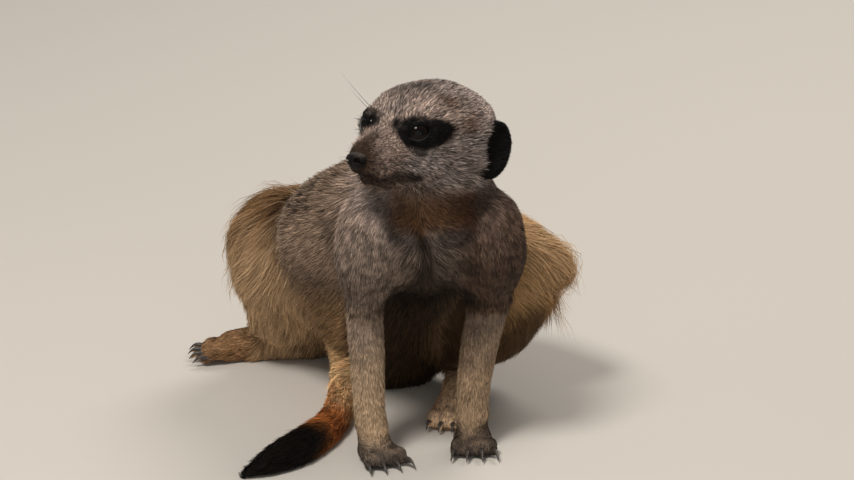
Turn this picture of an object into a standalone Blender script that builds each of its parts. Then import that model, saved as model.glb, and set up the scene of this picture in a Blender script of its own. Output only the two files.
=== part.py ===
"""A life-size meerkat that sits on the floor: forelegs straight, hind legs splayed, head turned.

The body is modelled whole, as overlapping forms that a voxel remesh joins and smoothing blends, and is
then parted with thin cuts into head, neck, trunk, tail and the joints of each leg. Eyes, nose and ears
sit in sockets. Lengths in the tables are centimetres; +X is the animal's left, -Y its front, +Z up.
"""

import math

import bmesh
import bpy
from mathutils import Euler, Matrix, Vector

CM = 0.01
GAP = 0.0003
LEFT, RIGHT = 1, -1
SIDES = ((RIGHT, "r"), (LEFT, "l"))

# The model's footprint is centred on the origin: this is where the middle of the chest stands in it.
CHEST_FOOT = Vector((2.26, -6.24, 0.0))

# How fine the forms are joined and how far they are blended, and the triangles that the body keeps.
BULK_VOXEL, BULK_SMOOTHING = 0.2 * CM, 26
HEAD_VOXEL, HEAD_SMOOTHING = 0.12 * CM, 16
VOXEL, SMOOTHING = 0.13 * CM, 6
BODY_TRIANGLES = 3000
# How freely the head and the feet are thinned, where 1 is as freely as the rest.
FINE_WEIGHT = 0.9998

# The spine, from the chest to the rump: place, half widths (across, along, up) and pitch of each swell.
TRUNK = [
    ((0.0, 1.7, 10.3), (2.9, 2.6, 2.8), 0),
    ((-0.2, 3.3, 9.9), (3.5, 3.2, 3.4), 25),
    ((-1.5, 5.8, 8.9), (4.2, 3.2, 3.8), 30),
    ((-2.6, 8.2, 7.4), (4.4, 3.2, 4.2), 35),
    ((-3.1, 10.4, 5.6), (4.4, 3.2, 4.5), 35),
    ((-3.2, 12.0, 4.4), (3.9, 2.9, 4.2), 20),
]
# The belly and groin, which sag between the thighs down to the floor.
BELLY = [
    ((-0.9, 6.6, 6.6), (3.0, 2.4, 2.6), 20),
    ((-1.4, 8.4, 3.9), (3.2, 2.1, 2.8), 10),
    ((-1.8, 9.9, 2.3), (3.2, 2.4, 2.5), 0),
]
NECK = [
    ((0.0, 2.3, 11.2), (3.0, 2.9, 2.0), 0),
    ((-0.1, 1.9, 12.6), (2.75, 2.65, 1.6), 0),
    ((-0.15, 1.6, 13.8), (2.5, 2.5, 1.5), 0),
]
NAPE = [
    ((0.3, 3.4, 13.4), (1.7, 1.4, 1.3), 0),
    ((0.0, 4.2, 12.2), (2.3, 1.8, 1.6), 0),
    ((-0.2, 5.0, 11.2), (2.8, 2.0, 1.8), 0),
]

# Each foreleg from the shoulder to the wrist, as (place, radius).
FORELEG = {
    RIGHT: [
        ((-2.45, 1.2, 10.6), 1.75),
        ((-2.7, 0.9, 9.2), 1.65),
        ((-2.85, 1.6, 7.4), 1.15),
        ((-2.85, 1.8, 6.2), 0.92),
        ((-2.7, 1.2, 3.8), 0.82),
        ((-2.6, 0.7, 1.9), 0.76),
        ((-2.45, 0.5, 0.9), 0.74),
    ],
    LEFT: [
        ((2.45, 1.6, 10.4), 1.75),
        ((2.75, 1.6, 9.0), 1.65),
        ((2.65, 2.6, 7.2), 1.2),
        ((2.5, 2.8, 6.0), 0.98),
        ((2.05, 2.5, 3.8), 0.86),
        ((1.85, 2.0, 1.9), 0.78),
        ((1.85, 1.8, 0.9), 0.74),
    ],
}
# Each paw: the middle of its palm, where it heads (degrees from -Y towards +X) and its size.
FOREPAW = {RIGHT: ((-2.32, 0.4, 0.42), 22), LEFT: ((1.88, 1.7, 0.42), 2)}

# The long hair of each hip, which stands out over the thigh, as (place, radius) from its roots to its tips.
HIP_FUR = {
    RIGHT: [((-5.4, 10.9, 7.4), 1.7), ((-6.9, 10.5, 7.8), 1.3)],
    LEFT: [((1.8, 9.9, 6.6), 2.2), ((3.9, 8.9, 6.6), 1.75), ((5.6, 8.1, 6.1), 1.0)],
}

# Each hind leg from the hip to the heel, and its foot from the heel to the ball of the toes.
HIND_LEG = {
    RIGHT: [
        ((-4.2, 11.8, 5.2), 3.2),
        ((-5.7, 11.3, 6.1), 2.75),
        ((-7.1, 10.9, 6.5), 2.1),
        ((-7.3, 11.1, 5.2), 1.85),
        ((-7.0, 11.6, 3.8), 1.75),
        ((-6.7, 12.0, 2.3), 1.6),
        ((-5.7, 12.6, 1.4), 1.1),
    ],
    LEFT: [
        ((-1.4, 10.6, 4.8), 3.1),
        ((1.0, 9.4, 5.5), 2.7),
        ((3.2, 8.1, 5.9), 2.0),
        ((3.6, 8.0, 4.4), 1.75),
        ((3.0, 8.9, 2.6), 1.5),
        ((1.7, 9.6, 1.4), 1.0),
    ],
}
HIND_FOOT = {
    RIGHT: [((-5.4, 12.9, 0.8), 0.9), ((-7.4, 12.6, 0.85), 0.8), ((-8.95, 12.4, 0.66), 0.76)],
    LEFT: [((1.45, 9.0, 0.7), 0.8), ((1.2, 6.8, 0.9), 0.68), ((0.95, 5.0, 0.6), 0.68)],
}

# The tail comes forward under the body and curls round outside the right forefoot.
TAIL = [
    ((-3.0, 13.3, 2.2), 1.3),
    ((-3.3, 12.0, 1.1), 1.2),
    ((-3.6, 10.0, 0.85), 0.95),
    ((-3.75, 7.5, 0.72), 0.82),
    ((-3.95, 5.2, 0.67), 0.77),
    ((-4.35, 3.1, 0.66), 0.76),
    ((-5.0, 1.4, 0.69), 0.79),
    ((-5.8, 0.0, 0.72), 0.83),
    ((-6.6, -0.9, 0.64), 0.74),
    ((-7.4, -1.5, 0.44), 0.52),
    ((-8.0, -1.8, 0.24), 0.28),
]

# The head: its middle, its turn towards the animal's right, and its size against the tables below.
HEAD_AT = Vector((-0.09, 1.5, 14.75))
HEAD_YAW, HEAD_PITCH, HEAD_ROLL = -40.0, -6.5, -5.0
HEAD_SCALE = 1.08
# In the head's own frame the nose points to -Y. The skull from the nape to the nose, as swells.
SKULL = [
    ((0.0, 1.75, -0.2), (2.15, 1.2, 1.72), 0),
    ((0.0, 0.8, 0.04), (2.48, 1.3, 1.92), 0),
    ((0.0, -0.2, 0.15), (2.45, 1.2, 1.85), 0),
    ((0.0, -1.0, 0.22), (2.22, 1.1, 1.72), 0),
    ((0.0, -1.7, 0.0), (1.6, 1.0, 1.35), 0),
    ((0.0, -2.4, -0.32), (1.22, 1.0, 1.02), 0),
    ((0.0, -3.2, -0.52), (1.02, 0.9, 0.88), 0),
    ((0.0, -4.0, -0.64), (0.68, 0.6, 0.64), 0),
]
CHEEK = [
    ((0.9, 1.2, -0.7), (1.4, 1.0, 1.3), 0),
    ((1.1, -0.1, -0.75), (1.4, 1.1, 1.25), 0),
    ((0.65, -1.6, -0.9), (0.95, 0.9, 0.85), 0),
]
ORBIT = ((1.18, -1.4, 0.33), (1.02, 0.92, 0.88), 0)
JAW = [((0, -0.4, -1.25), 1.15), ((0, -2.0, -1.4), 0.85), ((0, -3.35, -1.3), 0.6)]
THROAT = [((0.0, -0.2, -1.2), (1.6, 1.4, 1.1), 0), ((0.0, 0.6, -2.3), (1.5, 1.5, 1.3), 0)]
EYE_AT, EYE_RADIUS = (1.13, -2.0, 0.3), 0.55
NOSE_AT, NOSE_RADII = (0.0, -4.28, -0.58), (0.46, 0.4, 0.38)
# The ears are low on the sides of the head, cupped forwards and outwards, their rear rims standing off.
EAR_AT, EAR_RADII = (2.32, 1.2, -0.7), (0.42, 0.93, 1.27)
EAR_TILT, EAR_TURN = -14, -15
EAR_SCOOP_AT, EAR_SCOOP_RADII = (2.62, 1.05, -0.66), (0.37, 0.7, 1.0)

# Where the body is parted: the shoulder and hip joints as balls, everything else between two corners.
SHOULDER = {RIGHT: ((-2.7, 1.2, 9.4), (2.0, 2.5, 2.9)), LEFT: ((2.75, 1.6, 9.3), (2.0, 2.5, 2.9))}
HIP = {RIGHT: ((-6.4, 11.0, 6.0), (3.8, 3.8, 3.6)), LEFT: ((3.2, 9.0, 5.5), (4.4, 4.2, 4.2))}
WRIST_AT, ELBOW_AT, HEAD_CUT_AT = 1.5, 6.2, 12.75
FOREARM_BOX = {
    RIGHT: ((-4.6, -1.5, WRIST_AT), (-1.6, 3.1, ELBOW_AT)),
    LEFT: ((0.9, 0.3, WRIST_AT), (4.4, 3.9, ELBOW_AT)),
}
HIND_FOOT_BOX = {
    RIGHT: ((-13.0, 10.2, -1.0), (-7.8, 15.0, 1.9)),
    LEFT: ((-0.6, 2.0, -1.0), (2.4, 7.2, 1.9)),
}
SHANK_BOX = {RIGHT: ((-10.0, 8.8, -1.0), (-5.4, 14.6, 4.4)), LEFT: ((1.7, 5.0, -1.0), (6.5, 11.6, 4.2))}
TAIL_BOX = {
    "tail_tip": ((-11.0, -4.0, -1.0), (-2.6, 2.6, 1.9)),
    "tail_root": ((-6.0, 2.6, -1.0), (-2.5, 7.2, 1.8)),
}
NECK_BOX, NECK_TILT = ((-4.4, -4.5, 11.6), (4.4, 8.5, 15.6)), 22

# The pad of each foot as half widths, its toes (how they fan out in degrees, length, radius) and its
# claws (how far they reach out of the toe's core, radius at the root).
PAD = {"fore": (0.92, 0.95, 0.5), "hind": (0.85, 0.9, 0.52)}
TOE = {"fore": (9, 0.75, 0.3), "hind": (5, 1.0, 0.29)}
CLAW = {"fore": (0.78, 0.1), "hind": (0.6, 0.095)}

FUR = (0.42, 0.34, 0.26)
BLACK = (0.012, 0.011, 0.011)


def clear_scene():
    for obj in list(bpy.data.objects):
        bpy.data.objects.remove(obj)


def collection(name):
    made = bpy.data.collections.new(name)
    bpy.context.scene.collection.children.link(made)
    return made


def material(name, colour, roughness):
    made = bpy.data.materials.new(name)
    made.use_nodes = True
    shader = made.node_tree.nodes["Principled BSDF"]
    shader.inputs["Base Color"].default_value = (*colour, 1)
    shader.inputs["Roughness"].default_value = roughness
    return made


def adopt(obj, home, name):
    """Names an object and moves it into one collection."""
    obj.name = name
    for other in list(obj.users_collection):
        other.objects.unlink(obj)
    home.objects.link(obj)
    return obj


def freeze(obj):
    """Replaces an object by the mesh that its modifiers and its placing make of it, in world space."""
    graph = bpy.context.evaluated_depsgraph_get()
    graph.update()
    mesh = bpy.data.meshes.new_from_object(obj.evaluated_get(graph))
    mesh.transform(obj.matrix_world)
    name, home = obj.name, obj.users_collection[0]
    bpy.data.objects.remove(obj)
    made = bpy.data.objects.new(name, mesh)
    home.objects.link(made)
    return made


def world_point(place, frame=None):
    """A place in centimetres, in the head's frame or the body's, as a point in the model's frame."""
    point = Vector(place)
    if frame is not None:
        point = frame @ point
    return (point + CHEST_FOOT) * CM


def ellipsoid(place, radii, home, name="swell", frame=None, turn=(0, 0, 0), steps=24):
    """A sphere stretched to three half widths, turned by Euler degrees."""
    bpy.ops.mesh.primitive_uv_sphere_add(segments=steps, ring_count=steps * 2 // 3)
    obj = adopt(bpy.context.object, home, name)
    size = frame.median_scale if frame is not None else 1.0
    stretch = Matrix.Diagonal((*(Vector(radii) * CM * size), 1))
    rotation = Euler([math.radians(a) for a in turn]).to_matrix().to_4x4()
    if frame is not None:
        rotation = frame.to_quaternion().to_matrix().to_4x4() @ rotation
    obj.matrix_world = Matrix.Translation(world_point(place, frame)) @ rotation @ stretch
    return freeze(obj)


def swept(rows, home, frame=None, between=4):
    """A row of swells with others between them, so that they join as one smooth form."""
    for first, last in zip(rows, rows[1:]):
        for step in range(between):
            share = step / between
            place, radii = (Vector(first[i]).lerp(Vector(last[i]), share) for i in (0, 1))
            pitch = first[2] + (last[2] - first[2]) * share
            ellipsoid(place, radii, home, frame=frame, turn=(pitch, 0, 0))
    place, radii, pitch = rows[-1]
    ellipsoid(place, radii, home, frame=frame, turn=(pitch, 0, 0))


def limb(path, home, name="limb", frame=None):
    """A tube of changing radius on a smooth curve through a path, with a ball at each end."""
    size = frame.median_scale if frame is not None else 1.0
    curve = bpy.data.curves.new(name, "CURVE")
    curve.dimensions = "3D"
    curve.bevel_depth = CM
    curve.bevel_resolution = 4
    curve.resolution_u = 6
    curve.use_fill_caps = True
    spline = curve.splines.new("BEZIER")
    spline.bezier_points.add(len(path) - 1)
    for point, (place, radius) in zip(spline.bezier_points, path):
        point.co = world_point(place, frame)
        point.radius = radius * size
        point.handle_left_type = point.handle_right_type = "AUTO"
    tube = bpy.data.objects.new(name, curve)
    home.objects.link(tube)
    tube = freeze(tube)
    for place, radius in (path[0], path[-1]):
        ellipsoid(place, (radius,) * 3, home, frame=frame, steps=18)
    return tube


def along(place, heading, forward, side=0.0, up=0.0):
    """The place some way forward and aside of another, for a foot that heads so many degrees from -Y."""
    turn = math.radians(heading)
    ahead = Vector((math.sin(turn), -math.cos(turn), 0))
    aside = Vector((math.cos(turn), math.sin(turn), 0))
    return Vector(place) + ahead * forward + aside * side + Vector((0, 0, up))


def toes(place, heading, home, spread, length, radius):
    """Four toes that fan out from the ball of a foot. Returns where each claw starts and heads."""
    roots = []
    for number in range(4):
        share = number - 1.5
        turn = heading + share * spread
        reach = length * (1.0 - 0.1 * abs(share))
        start = along(place, heading, 0.1, share * radius * 1.55)
        knuckle = along(start, turn, reach * 0.55, up=0.12)
        tip = along(start, turn, reach, up=-0.2)
        limb([(start, radius), (knuckle, radius), (tip, radius * 0.8)], home, "toe")
        roots.append((tip, turn))
    return roots


def claws(roots, host, home, length, radius):
    """A curved tapering claw on each toe, joined to the foot."""
    for tip, turn in roots:
        path = [
            (along(tip, turn, 0.0, up=0.06), radius),
            (along(tip, turn, length * 0.6, up=0.12), radius * 0.85),
            (along(tip, turn, length, up=-0.08), radius * 0.45),
        ]
        boolean(host, fused(path, home), "UNION")


def fused(path, home):
    """A short limb as one closed mesh."""
    bit = collection("bit")
    limb(path, bit)
    made = joined(bit, home, "bit", 0.03 * CM)
    modify(made, "DECIMATE", ratio=0.02)
    bpy.data.collections.remove(bit)
    return freeze(made)


def joined(source, home, name, voxel, smoothing=0):
    """All of a collection's closed forms as one skin, by a voxel remesh and smoothing."""
    forms = list(source.objects)
    with bpy.context.temp_override(active_object=forms[0], selected_editable_objects=forms):
        bpy.ops.object.join()
    whole = adopt(forms[0], home, name)
    modify(whole, "REMESH", mode="VOXEL", voxel_size=voxel)
    if smoothing:
        modify(whole, "SMOOTH", factor=0.5, iterations=smoothing)
    return freeze(whole)


def modify(obj, kind, **settings):
    modifier = obj.modifiers.new(kind.lower(), kind)
    for key, value in settings.items():
        setattr(modifier, key, value)
    return modifier


def boolean(host, tool, operation, keep=False):
    """Joins, cuts or trims the host's mesh by a closed tool, in place."""
    modifier = modify(host, "BOOLEAN", operation=operation, object=tool)
    graph = bpy.context.evaluated_depsgraph_get()
    graph.update()
    mesh = bpy.data.meshes.new_from_object(host.evaluated_get(graph))
    host.modifiers.remove(modifier)
    host.data = mesh
    if not keep:
        bpy.data.objects.remove(tool)


def grown(obj, home, distance):
    """A copy of a closed form whose faces all stand out by a distance."""
    form = bmesh.new()
    form.from_mesh(obj.data)
    form.normal_update()
    moves = [point.normal * distance * point.calc_shell_factor() for point in form.verts]
    for point, move in zip(form.verts, moves):
        point.co += move
    mesh = bpy.data.meshes.new(obj.name + "_grown")
    form.to_mesh(mesh)
    form.free()
    copy = bpy.data.objects.new(obj.name + "_grown", mesh)
    home.objects.link(copy)
    return copy


def seat(host, guest, home):
    """Cuts the socket that a guest sits in, a thin gap wider than the guest."""
    boolean(host, grown(guest, home, GAP), "DIFFERENCE")


def part_off(whole, region, home, name):
    """Takes the share of the whole that lies inside a region, and leaves a thin gap round it."""
    part = bpy.data.objects.new(name, whole.data.copy())
    home.objects.link(part)
    boolean(part, region, "INTERSECT", keep=True)
    boolean(whole, grown(region, home, GAP), "DIFFERENCE")
    bpy.data.objects.remove(region)
    return part


def block(low, high, home, frame=None, turn=(0, 0, 0)):
    """A box between two corners, turned about its middle."""
    low, high = Vector(low), Vector(high)
    bpy.ops.mesh.primitive_cube_add(size=1)
    obj = adopt(bpy.context.object, home, "block")
    size = frame.median_scale if frame is not None else 1.0
    rotation = Euler([math.radians(a) for a in turn]).to_matrix().to_4x4()
    if frame is not None:
        rotation = frame.to_quaternion().to_matrix().to_4x4() @ rotation
    stretch = Matrix.Diagonal((*((high - low) * CM * size), 1))
    obj.matrix_world = Matrix.Translation(world_point((low + high) / 2, frame)) @ rotation @ stretch
    return freeze(obj)


def head_frame():
    turn = [math.radians(a) for a in (HEAD_PITCH, HEAD_ROLL, HEAD_YAW)]
    rotation = (
        Matrix.Rotation(turn[2], 4, "Z")
        @ Matrix.Rotation(turn[0], 4, "X")
        @ Matrix.Rotation(turn[1], 4, "Y")
    )
    return Matrix.Translation(HEAD_AT) @ rotation @ Matrix.Scale(HEAD_SCALE, 4)


def mirrored(row):
    """A swell's row on the other side of the head."""
    (x, y, z), radii, pitch = row
    return (-x, y, z), radii, pitch


def bulk_forms(home):
    """The large forms, from the neck to the heels, which are blended most."""
    for rows in (TRUNK, BELLY, NECK, NAPE):
        swept(rows, home)
    limb(TAIL[:4], home)
    for side in (RIGHT, LEFT):
        limb(FORELEG[side], home)
        limb(HIND_LEG[side], home)
        limb(HIP_FUR[side], home)


def head_forms(home, head):
    for rows in (SKULL, CHEEK, [mirrored(row) for row in CHEEK], THROAT):
        swept(rows, home, head)
    for place, radii, _ in (ORBIT, mirrored(ORBIT)):
        ellipsoid(place, radii, home, frame=head)
    limb(JAW, home, frame=head)


def foot_forms(home):
    """The lower legs and the feet. Returns where the claws of each foot start and head."""
    roots = {}
    for side in (RIGHT, LEFT):
        limb(FORELEG[side][3:], home)
        limb(HIND_FOOT[side], home)
        place, heading = FOREPAW[side]
        ellipsoid(place, PAD["fore"], home, turn=(0, 0, heading))
        roots["fore", side] = toes(along(place, heading, 0.45), heading, home, *TOE["fore"])
        ball, heading = HIND_FOOT[side][-1][0], hind_heading(side)
        ellipsoid(ball, PAD["hind"], home, turn=(0, 0, heading))
        roots["hind", side] = toes(along(ball, heading, 0.35, up=-0.15), heading, home, *TOE["hind"])
    return roots


def hind_heading(side):
    """Which way a hind foot points, in degrees from -Y towards +X."""
    heel, ball = Vector(HIND_FOOT[side][0][0]), Vector(HIND_FOOT[side][-1][0])
    ahead = ball - heel
    return math.degrees(math.atan2(ahead.x, -ahead.y))


def modelled_whole(home, head):
    """The body as one skin, and where the claws of each foot start and head."""
    bulk, skull, forms = collection("bulk"), collection("skull"), collection("forms")
    bulk_forms(bulk)
    joined(bulk, forms, "bulk", BULK_VOXEL, BULK_SMOOTHING)
    head_forms(skull, head)
    joined(skull, forms, "skull", HEAD_VOXEL, HEAD_SMOOTHING)
    limb(TAIL, forms)
    roots = foot_forms(forms)
    return joined(forms, home, "trunk", VOXEL, SMOOTHING), roots


def thinned(whole):
    """Fewer triangles, most of them left on the head and the feet."""
    group = whole.vertex_groups.new(name="thinning")
    for point in whole.data.vertices:
        x, y, z = point.co / CM - CHEST_FOOT
        fine = z > HEAD_CUT_AT or z < WRIST_AT + 0.5
        group.add([point.index], FINE_WEIGHT if fine else 1.0, "REPLACE")
    whole.data.calc_loop_triangles()
    ratio = BODY_TRIANGLES / len(whole.data.loop_triangles)
    modify(whole, "DECIMATE", ratio=ratio, vertex_group="thinning", use_collapse_triangulate=True)
    return freeze(whole)


def head_pieces(hosts, home, tools, head):
    """The eyes, the nose and the ears in sockets of the head. The ears' run on into the neck and nape."""
    skull = hosts[0]
    glossy = material("eyes and nose", BLACK, 0.15)
    ear_fur = material("ear", BLACK, 0.8)
    nose = ellipsoid(NOSE_AT, NOSE_RADII, home, "nose", head, steps=12)
    nose.data.materials.append(glossy)
    seat(skull, nose, tools)
    for side, letter in SIDES:
        x, y, z = EYE_AT
        eye = ellipsoid((x * side, y, z), (EYE_RADIUS,) * 3, home, "eye_" + letter, head, steps=12)
        eye.data.materials.append(glossy)
        seat(skull, eye, tools)
        x, y, z = EAR_AT
        turn = (EAR_TILT, 0, EAR_TURN * side)
        ear = ellipsoid((x * side, y, z), EAR_RADII, home, "ear_" + letter, head, turn, 12)
        ear.data.materials.append(ear_fur)
        for host in hosts:
            seat(host, ear, tools)
        x, y, z = EAR_SCOOP_AT
        scoop = ellipsoid((x * side, y, z), EAR_SCOOP_RADII, tools, "scoop", head, turn, 10)
        boolean(ear, scoop, "DIFFERENCE")


def foreleg_parts(whole, home, tools, roots, side, letter):
    """A forepaw with its claws, a forearm and an upper arm, parted from the body."""
    x, y, _ = FOREPAW[side][0]
    paw_box = block((x - 1.45, y - 2.4, -1), (x + 1.45, y + 1.45, WRIST_AT), tools)
    paw = part_off(whole, paw_box, home, "forepaw_" + letter)
    claws(roots["fore", side], paw, tools, *CLAW["fore"])
    part_off(whole, block(*FOREARM_BOX[side], tools), home, "forearm_" + letter)
    part_off(whole, ellipsoid(*SHOULDER[side], tools, steps=12), home, "upper_arm_" + letter)


def hind_leg_parts(whole, home, tools, roots, side, letter):
    """A hind foot with its claws, a shank and a thigh, parted from the body."""
    foot = part_off(whole, block(*HIND_FOOT_BOX[side], tools), home, "hind_foot_" + letter)
    claws(roots["hind", side], foot, tools, *CLAW["hind"])
    part_off(whole, block(*SHANK_BOX[side], tools), home, "shank_" + letter)
    part_off(whole, ellipsoid(*HIP[side], tools, steps=12), home, "thigh_" + letter)


def main():
    clear_scene()
    home, tools = collection("meerkat"), collection("tools")
    head = head_frame()
    whole, roots = modelled_whole(home, head)
    whole = thinned(whole)
    boolean(whole, block((-30, -30, -5), (30, 30, 0), tools), "DIFFERENCE")
    whole.data.materials.clear()
    whole.data.materials.append(material("fur", FUR, 0.85))
    for side, letter in SIDES:
        foreleg_parts(whole, home, tools, roots, side, letter)
        hind_leg_parts(whole, home, tools, roots, side, letter)
    for name, corners in TAIL_BOX.items():
        part_off(whole, block(*corners, tools), home, name)
    skull = part_off(whole, block((-8, -8, HEAD_CUT_AT), (8, 9, 22), tools), home, "head")
    neck = part_off(whole, block(*NECK_BOX, tools, turn=(NECK_TILT, 0, 0)), home, "neck")
    head_pieces([skull, neck, whole], home, tools, head)


main()
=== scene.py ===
import math

import bmesh
import bpy
import numpy as np
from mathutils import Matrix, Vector
from mathutils.bvhtree import BVHTree
from mathutils.kdtree import KDTree


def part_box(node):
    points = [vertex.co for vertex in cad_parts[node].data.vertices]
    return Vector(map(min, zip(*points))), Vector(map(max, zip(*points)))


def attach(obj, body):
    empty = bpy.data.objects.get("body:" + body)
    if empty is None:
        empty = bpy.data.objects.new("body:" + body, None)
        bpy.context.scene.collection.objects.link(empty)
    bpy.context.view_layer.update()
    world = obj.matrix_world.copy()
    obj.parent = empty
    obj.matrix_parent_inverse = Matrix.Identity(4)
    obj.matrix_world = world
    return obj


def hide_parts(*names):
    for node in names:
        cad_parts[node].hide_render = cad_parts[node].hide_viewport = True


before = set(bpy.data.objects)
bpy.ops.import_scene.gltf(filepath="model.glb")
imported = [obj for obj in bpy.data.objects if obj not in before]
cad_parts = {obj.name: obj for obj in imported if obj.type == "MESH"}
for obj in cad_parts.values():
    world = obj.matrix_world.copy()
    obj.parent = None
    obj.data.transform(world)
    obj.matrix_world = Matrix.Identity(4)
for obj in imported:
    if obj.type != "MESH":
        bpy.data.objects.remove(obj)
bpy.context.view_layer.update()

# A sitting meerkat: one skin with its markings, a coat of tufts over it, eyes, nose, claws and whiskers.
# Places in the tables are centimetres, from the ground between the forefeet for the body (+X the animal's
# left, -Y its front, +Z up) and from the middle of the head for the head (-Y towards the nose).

CM, MM = 0.01, 0.001
CHEST_FOOT = np.array((2.26, -6.24, 0.0))
LEFT, RIGHT = 1, -1
SIDES = ((LEFT, "l"), (RIGHT, "r"))
TUFT_SHARE, REFINING = ((1.0, 2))
random = np.random.default_rng(7)

LIMBS = ("upper_arm", "forearm", "forepaw", "thigh", "shank", "hind_foot", "ear")
CORE = ("head", "neck", "trunk", "tail_root", "tail_tip")
FLESH = CORE + tuple(f"{limb}_{side}" for limb in LIMBS for side in "lr")
FACE = ("eye_l", "eye_r", "nose")

# The height of the elbows. The solids' trunk is coated as part of the arms under a height, before a depth
# and outside a distance from the middle of the chest.
ELBOW, ELBOW_TOP, ELBOW_BACK = 6.35, 7.0, 3.6
CHEST_MIDDLE, ELBOW_INSIDE = -0.5, 1.35

# The skin: how finely it is remade from the solids, how far they are swollen first so that the cuts close,
# and how many rounds of smoothing the body and the finer parts get.
VOXEL = 0.9 * MM
SWELL = 0.22 * MM
BODY_ROUNDS, FINE_ROUNDS = 36, 7
FINE_PARTS = ("forepaw", "hind_foot", "ear")
THICKEST = 60 * MM

# The coat of each part: length of the tufts, how high their tips stand off the skin, their width (all mm)
# and how many grow on a square centimetre.
COAT = {
    "head": (4.0, 1.4, 0.24, 1150),
    "neck": (6.0, 2.0, 0.28, 700),
    "trunk": (12.0, 4.0, 0.33, 420),
    "upper_arm": (7.5, 2.6, 0.30, 620),
    "forearm": (4.6, 1.5, 0.28, 800),
    "forepaw": (2.3, 0.6, 0.25, 1000),
    "thigh": (15.0, 4.6, 0.34, 360),
    "shank": (11.0, 3.4, 0.33, 400),
    "hind_foot": (3.8, 1.0, 0.28, 760),
    "tail_root": (7.5, 2.3, 0.33, 520),
    "tail_tip": (8.5, 2.5, 0.34, 520),
    "ear": (2.6, 0.9, 0.22, 1000),
}

# Which way the coat lies on each part, from root to tip.
LIE = {
    "neck": (0.0, 0.35, -1.0),
    "upper_arm_l": (0.12, 0.1, -1.0),
    "upper_arm_r": (-0.15, 0.1, -1.0),
    "forearm": (0.0, -0.15, -1.0),
    "forepaw_l": (0.03, -1.0, -0.3),
    "forepaw_r": (0.37, -0.93, -0.3),
    "thigh_l": (0.62, 0.12, -0.75),
    "thigh_r": (-0.62, 0.12, -0.75),
    "shank_l": (-0.3, 0.35, -0.9),
    "shank_r": (-0.2, 0.1, -1.0),
    "hind_foot_l": (-0.12, -1.0, -0.1),
    "hind_foot_r": (-1.0, -0.14, -0.1),
    "tail_root": (-0.12, -1.0, 0.0),
    "tail_tip": (-0.62, -0.78, 0.0),
}
BACK_LIE = (-0.27, 0.85, -0.5)
# The place before the nose that the head's coat lies away from.
LIE_FROM = (0.0, -4.9, -0.3)
# On the chest the coat parts along a line and lies outwards from it: the line's places and heights, and the
# half width of the dark fur round it, which widens low down into painted shade in the hollow between the
# forelegs.
PARTING_Z = (7.0, 8.2, 8.8, 11.7)
PARTING_X = (-0.1, -0.1, -0.05, -0.6)
PARTING_AND_SHADE_HALF = (1.7, 0.9, 0.12, 0.05)
CHEST_LIE = (0.85, 0.25, -0.55)

# Where the left hip's hair is longest and stands off in wisps: middle and half widths.
HIP_WISPS, HIP_WISPS_RADII = (5.0, 8.4, 6.3), (2.6, 2.4, 1.8)

# Where wisps stand off the right flank: middle and half widths.
FLANK_WISPS, FLANK_WISPS_RADII = (-8.0, 10.0, 7.0), (3.5, 3.5, 4.0)

# The head's landmarks in its own frame, of which the solids give the size and the turn.
EYE_AT = np.array((1.13, -2.0, 0.3))
NOSE_AT = np.array((0.0, -4.28, -0.58))
NOSE_BARE = (0.52, 0.5, 0.46)
GAZE = np.array((0.75, -0.64, 0.19))
# The opening between the lids: half its width and height in degrees round the eyeball, and its tilt.
LID_WIDTH, LID_HEIGHT, LID_TILT = 54.0, 32.0, 8.0
LID_THICKNESS, LID_TUCK = 0.55 * MM, 1.3 * MM
# The dark patch round each eye, in the plane seen from the side: middle, half widths and tilt.
PATCH_AT, PATCH_RADII, PATCH_TILT = (-1.98, 0.31), (0.84, 0.56), 7.0
DROP_AT, DROP_RADII = (-2.15, -0.33), (0.36, 0.34)
# The edge of the upper lip from the front of the mouth to its corner.
LIP = [
    (0.0, -4.33, -1.12),
    (0.3, -4.1, -1.36),
    (0.5, -3.65, -1.56),
    (0.66, -3.2, -1.55),
    (0.82, -2.7, -1.46),
    (0.97, -2.15, -1.5),
]


def unit(v):
    """Vectors of length one."""
    return v / np.maximum(np.linalg.norm(v, axis=-1, keepdims=True), 1e-12)


def dot(a, b):
    return np.sum(a * b, axis=-1)


def step(low, high, x):
    """0 below low and 1 above high, with a smooth rise between them."""
    t = np.clip((x - low) / (high - low), 0.0, 1.0)
    return t * t * (3.0 - 2.0 * t)


def round_spot(places, centre, radii):
    """1 within half of these radii round a centre and 0 outside them, with a smooth fall between."""
    return step(1.0, 0.5, np.linalg.norm((places - np.array(centre)) / radii, axis=1))


def mixed(a, b, share):
    """From a to b by a share for each row."""
    return a + (b - a) * share[:, None]


def kind(part):
    """A part's name without its side."""
    return part[:-2] if part[-2:] in ("_l", "_r") else part


def row_of(table, part):
    """A part's row in a table, where a name without a side stands for both sides."""
    return table.get(part, table.get(kind(part)))


def numbered(*names):
    """The numbers of the flesh parts so called, where a name without a side means both."""
    return [i for i, part in enumerate(FLESH) if part in names or kind(part) in names]


def hashed(cell, seed):
    """A random number from 0 to 1 for each cell of a grid."""
    n = cell[:, 0] * 73856093 ^ cell[:, 1] * 19349663 ^ cell[:, 2] * 83492791 ^ seed * 2654435
    n = (n ^ (n >> 13)) * 1274126177
    return ((n ^ (n >> 16)) & 0xFFFFF) / float(0xFFFFF)


def noise(points, size, seed=0):
    """Smooth random values from 0 to 1 that change over about the given size."""
    q = points / size
    cell = np.floor(q).astype(np.int64)
    f = q - cell
    f = f * f * (3.0 - 2.0 * f)
    total = np.zeros(len(points))
    for corner in range(8):
        offset = np.array((corner & 1, corner >> 1 & 1, corner >> 2 & 1))
        weight = np.prod(np.where(offset == 1, f, 1.0 - f), axis=1)
        total += weight * hashed(cell + offset, seed)
    return total


def middle(node):
    low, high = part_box(node)
    return np.array((low + high) / 2)


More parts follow.
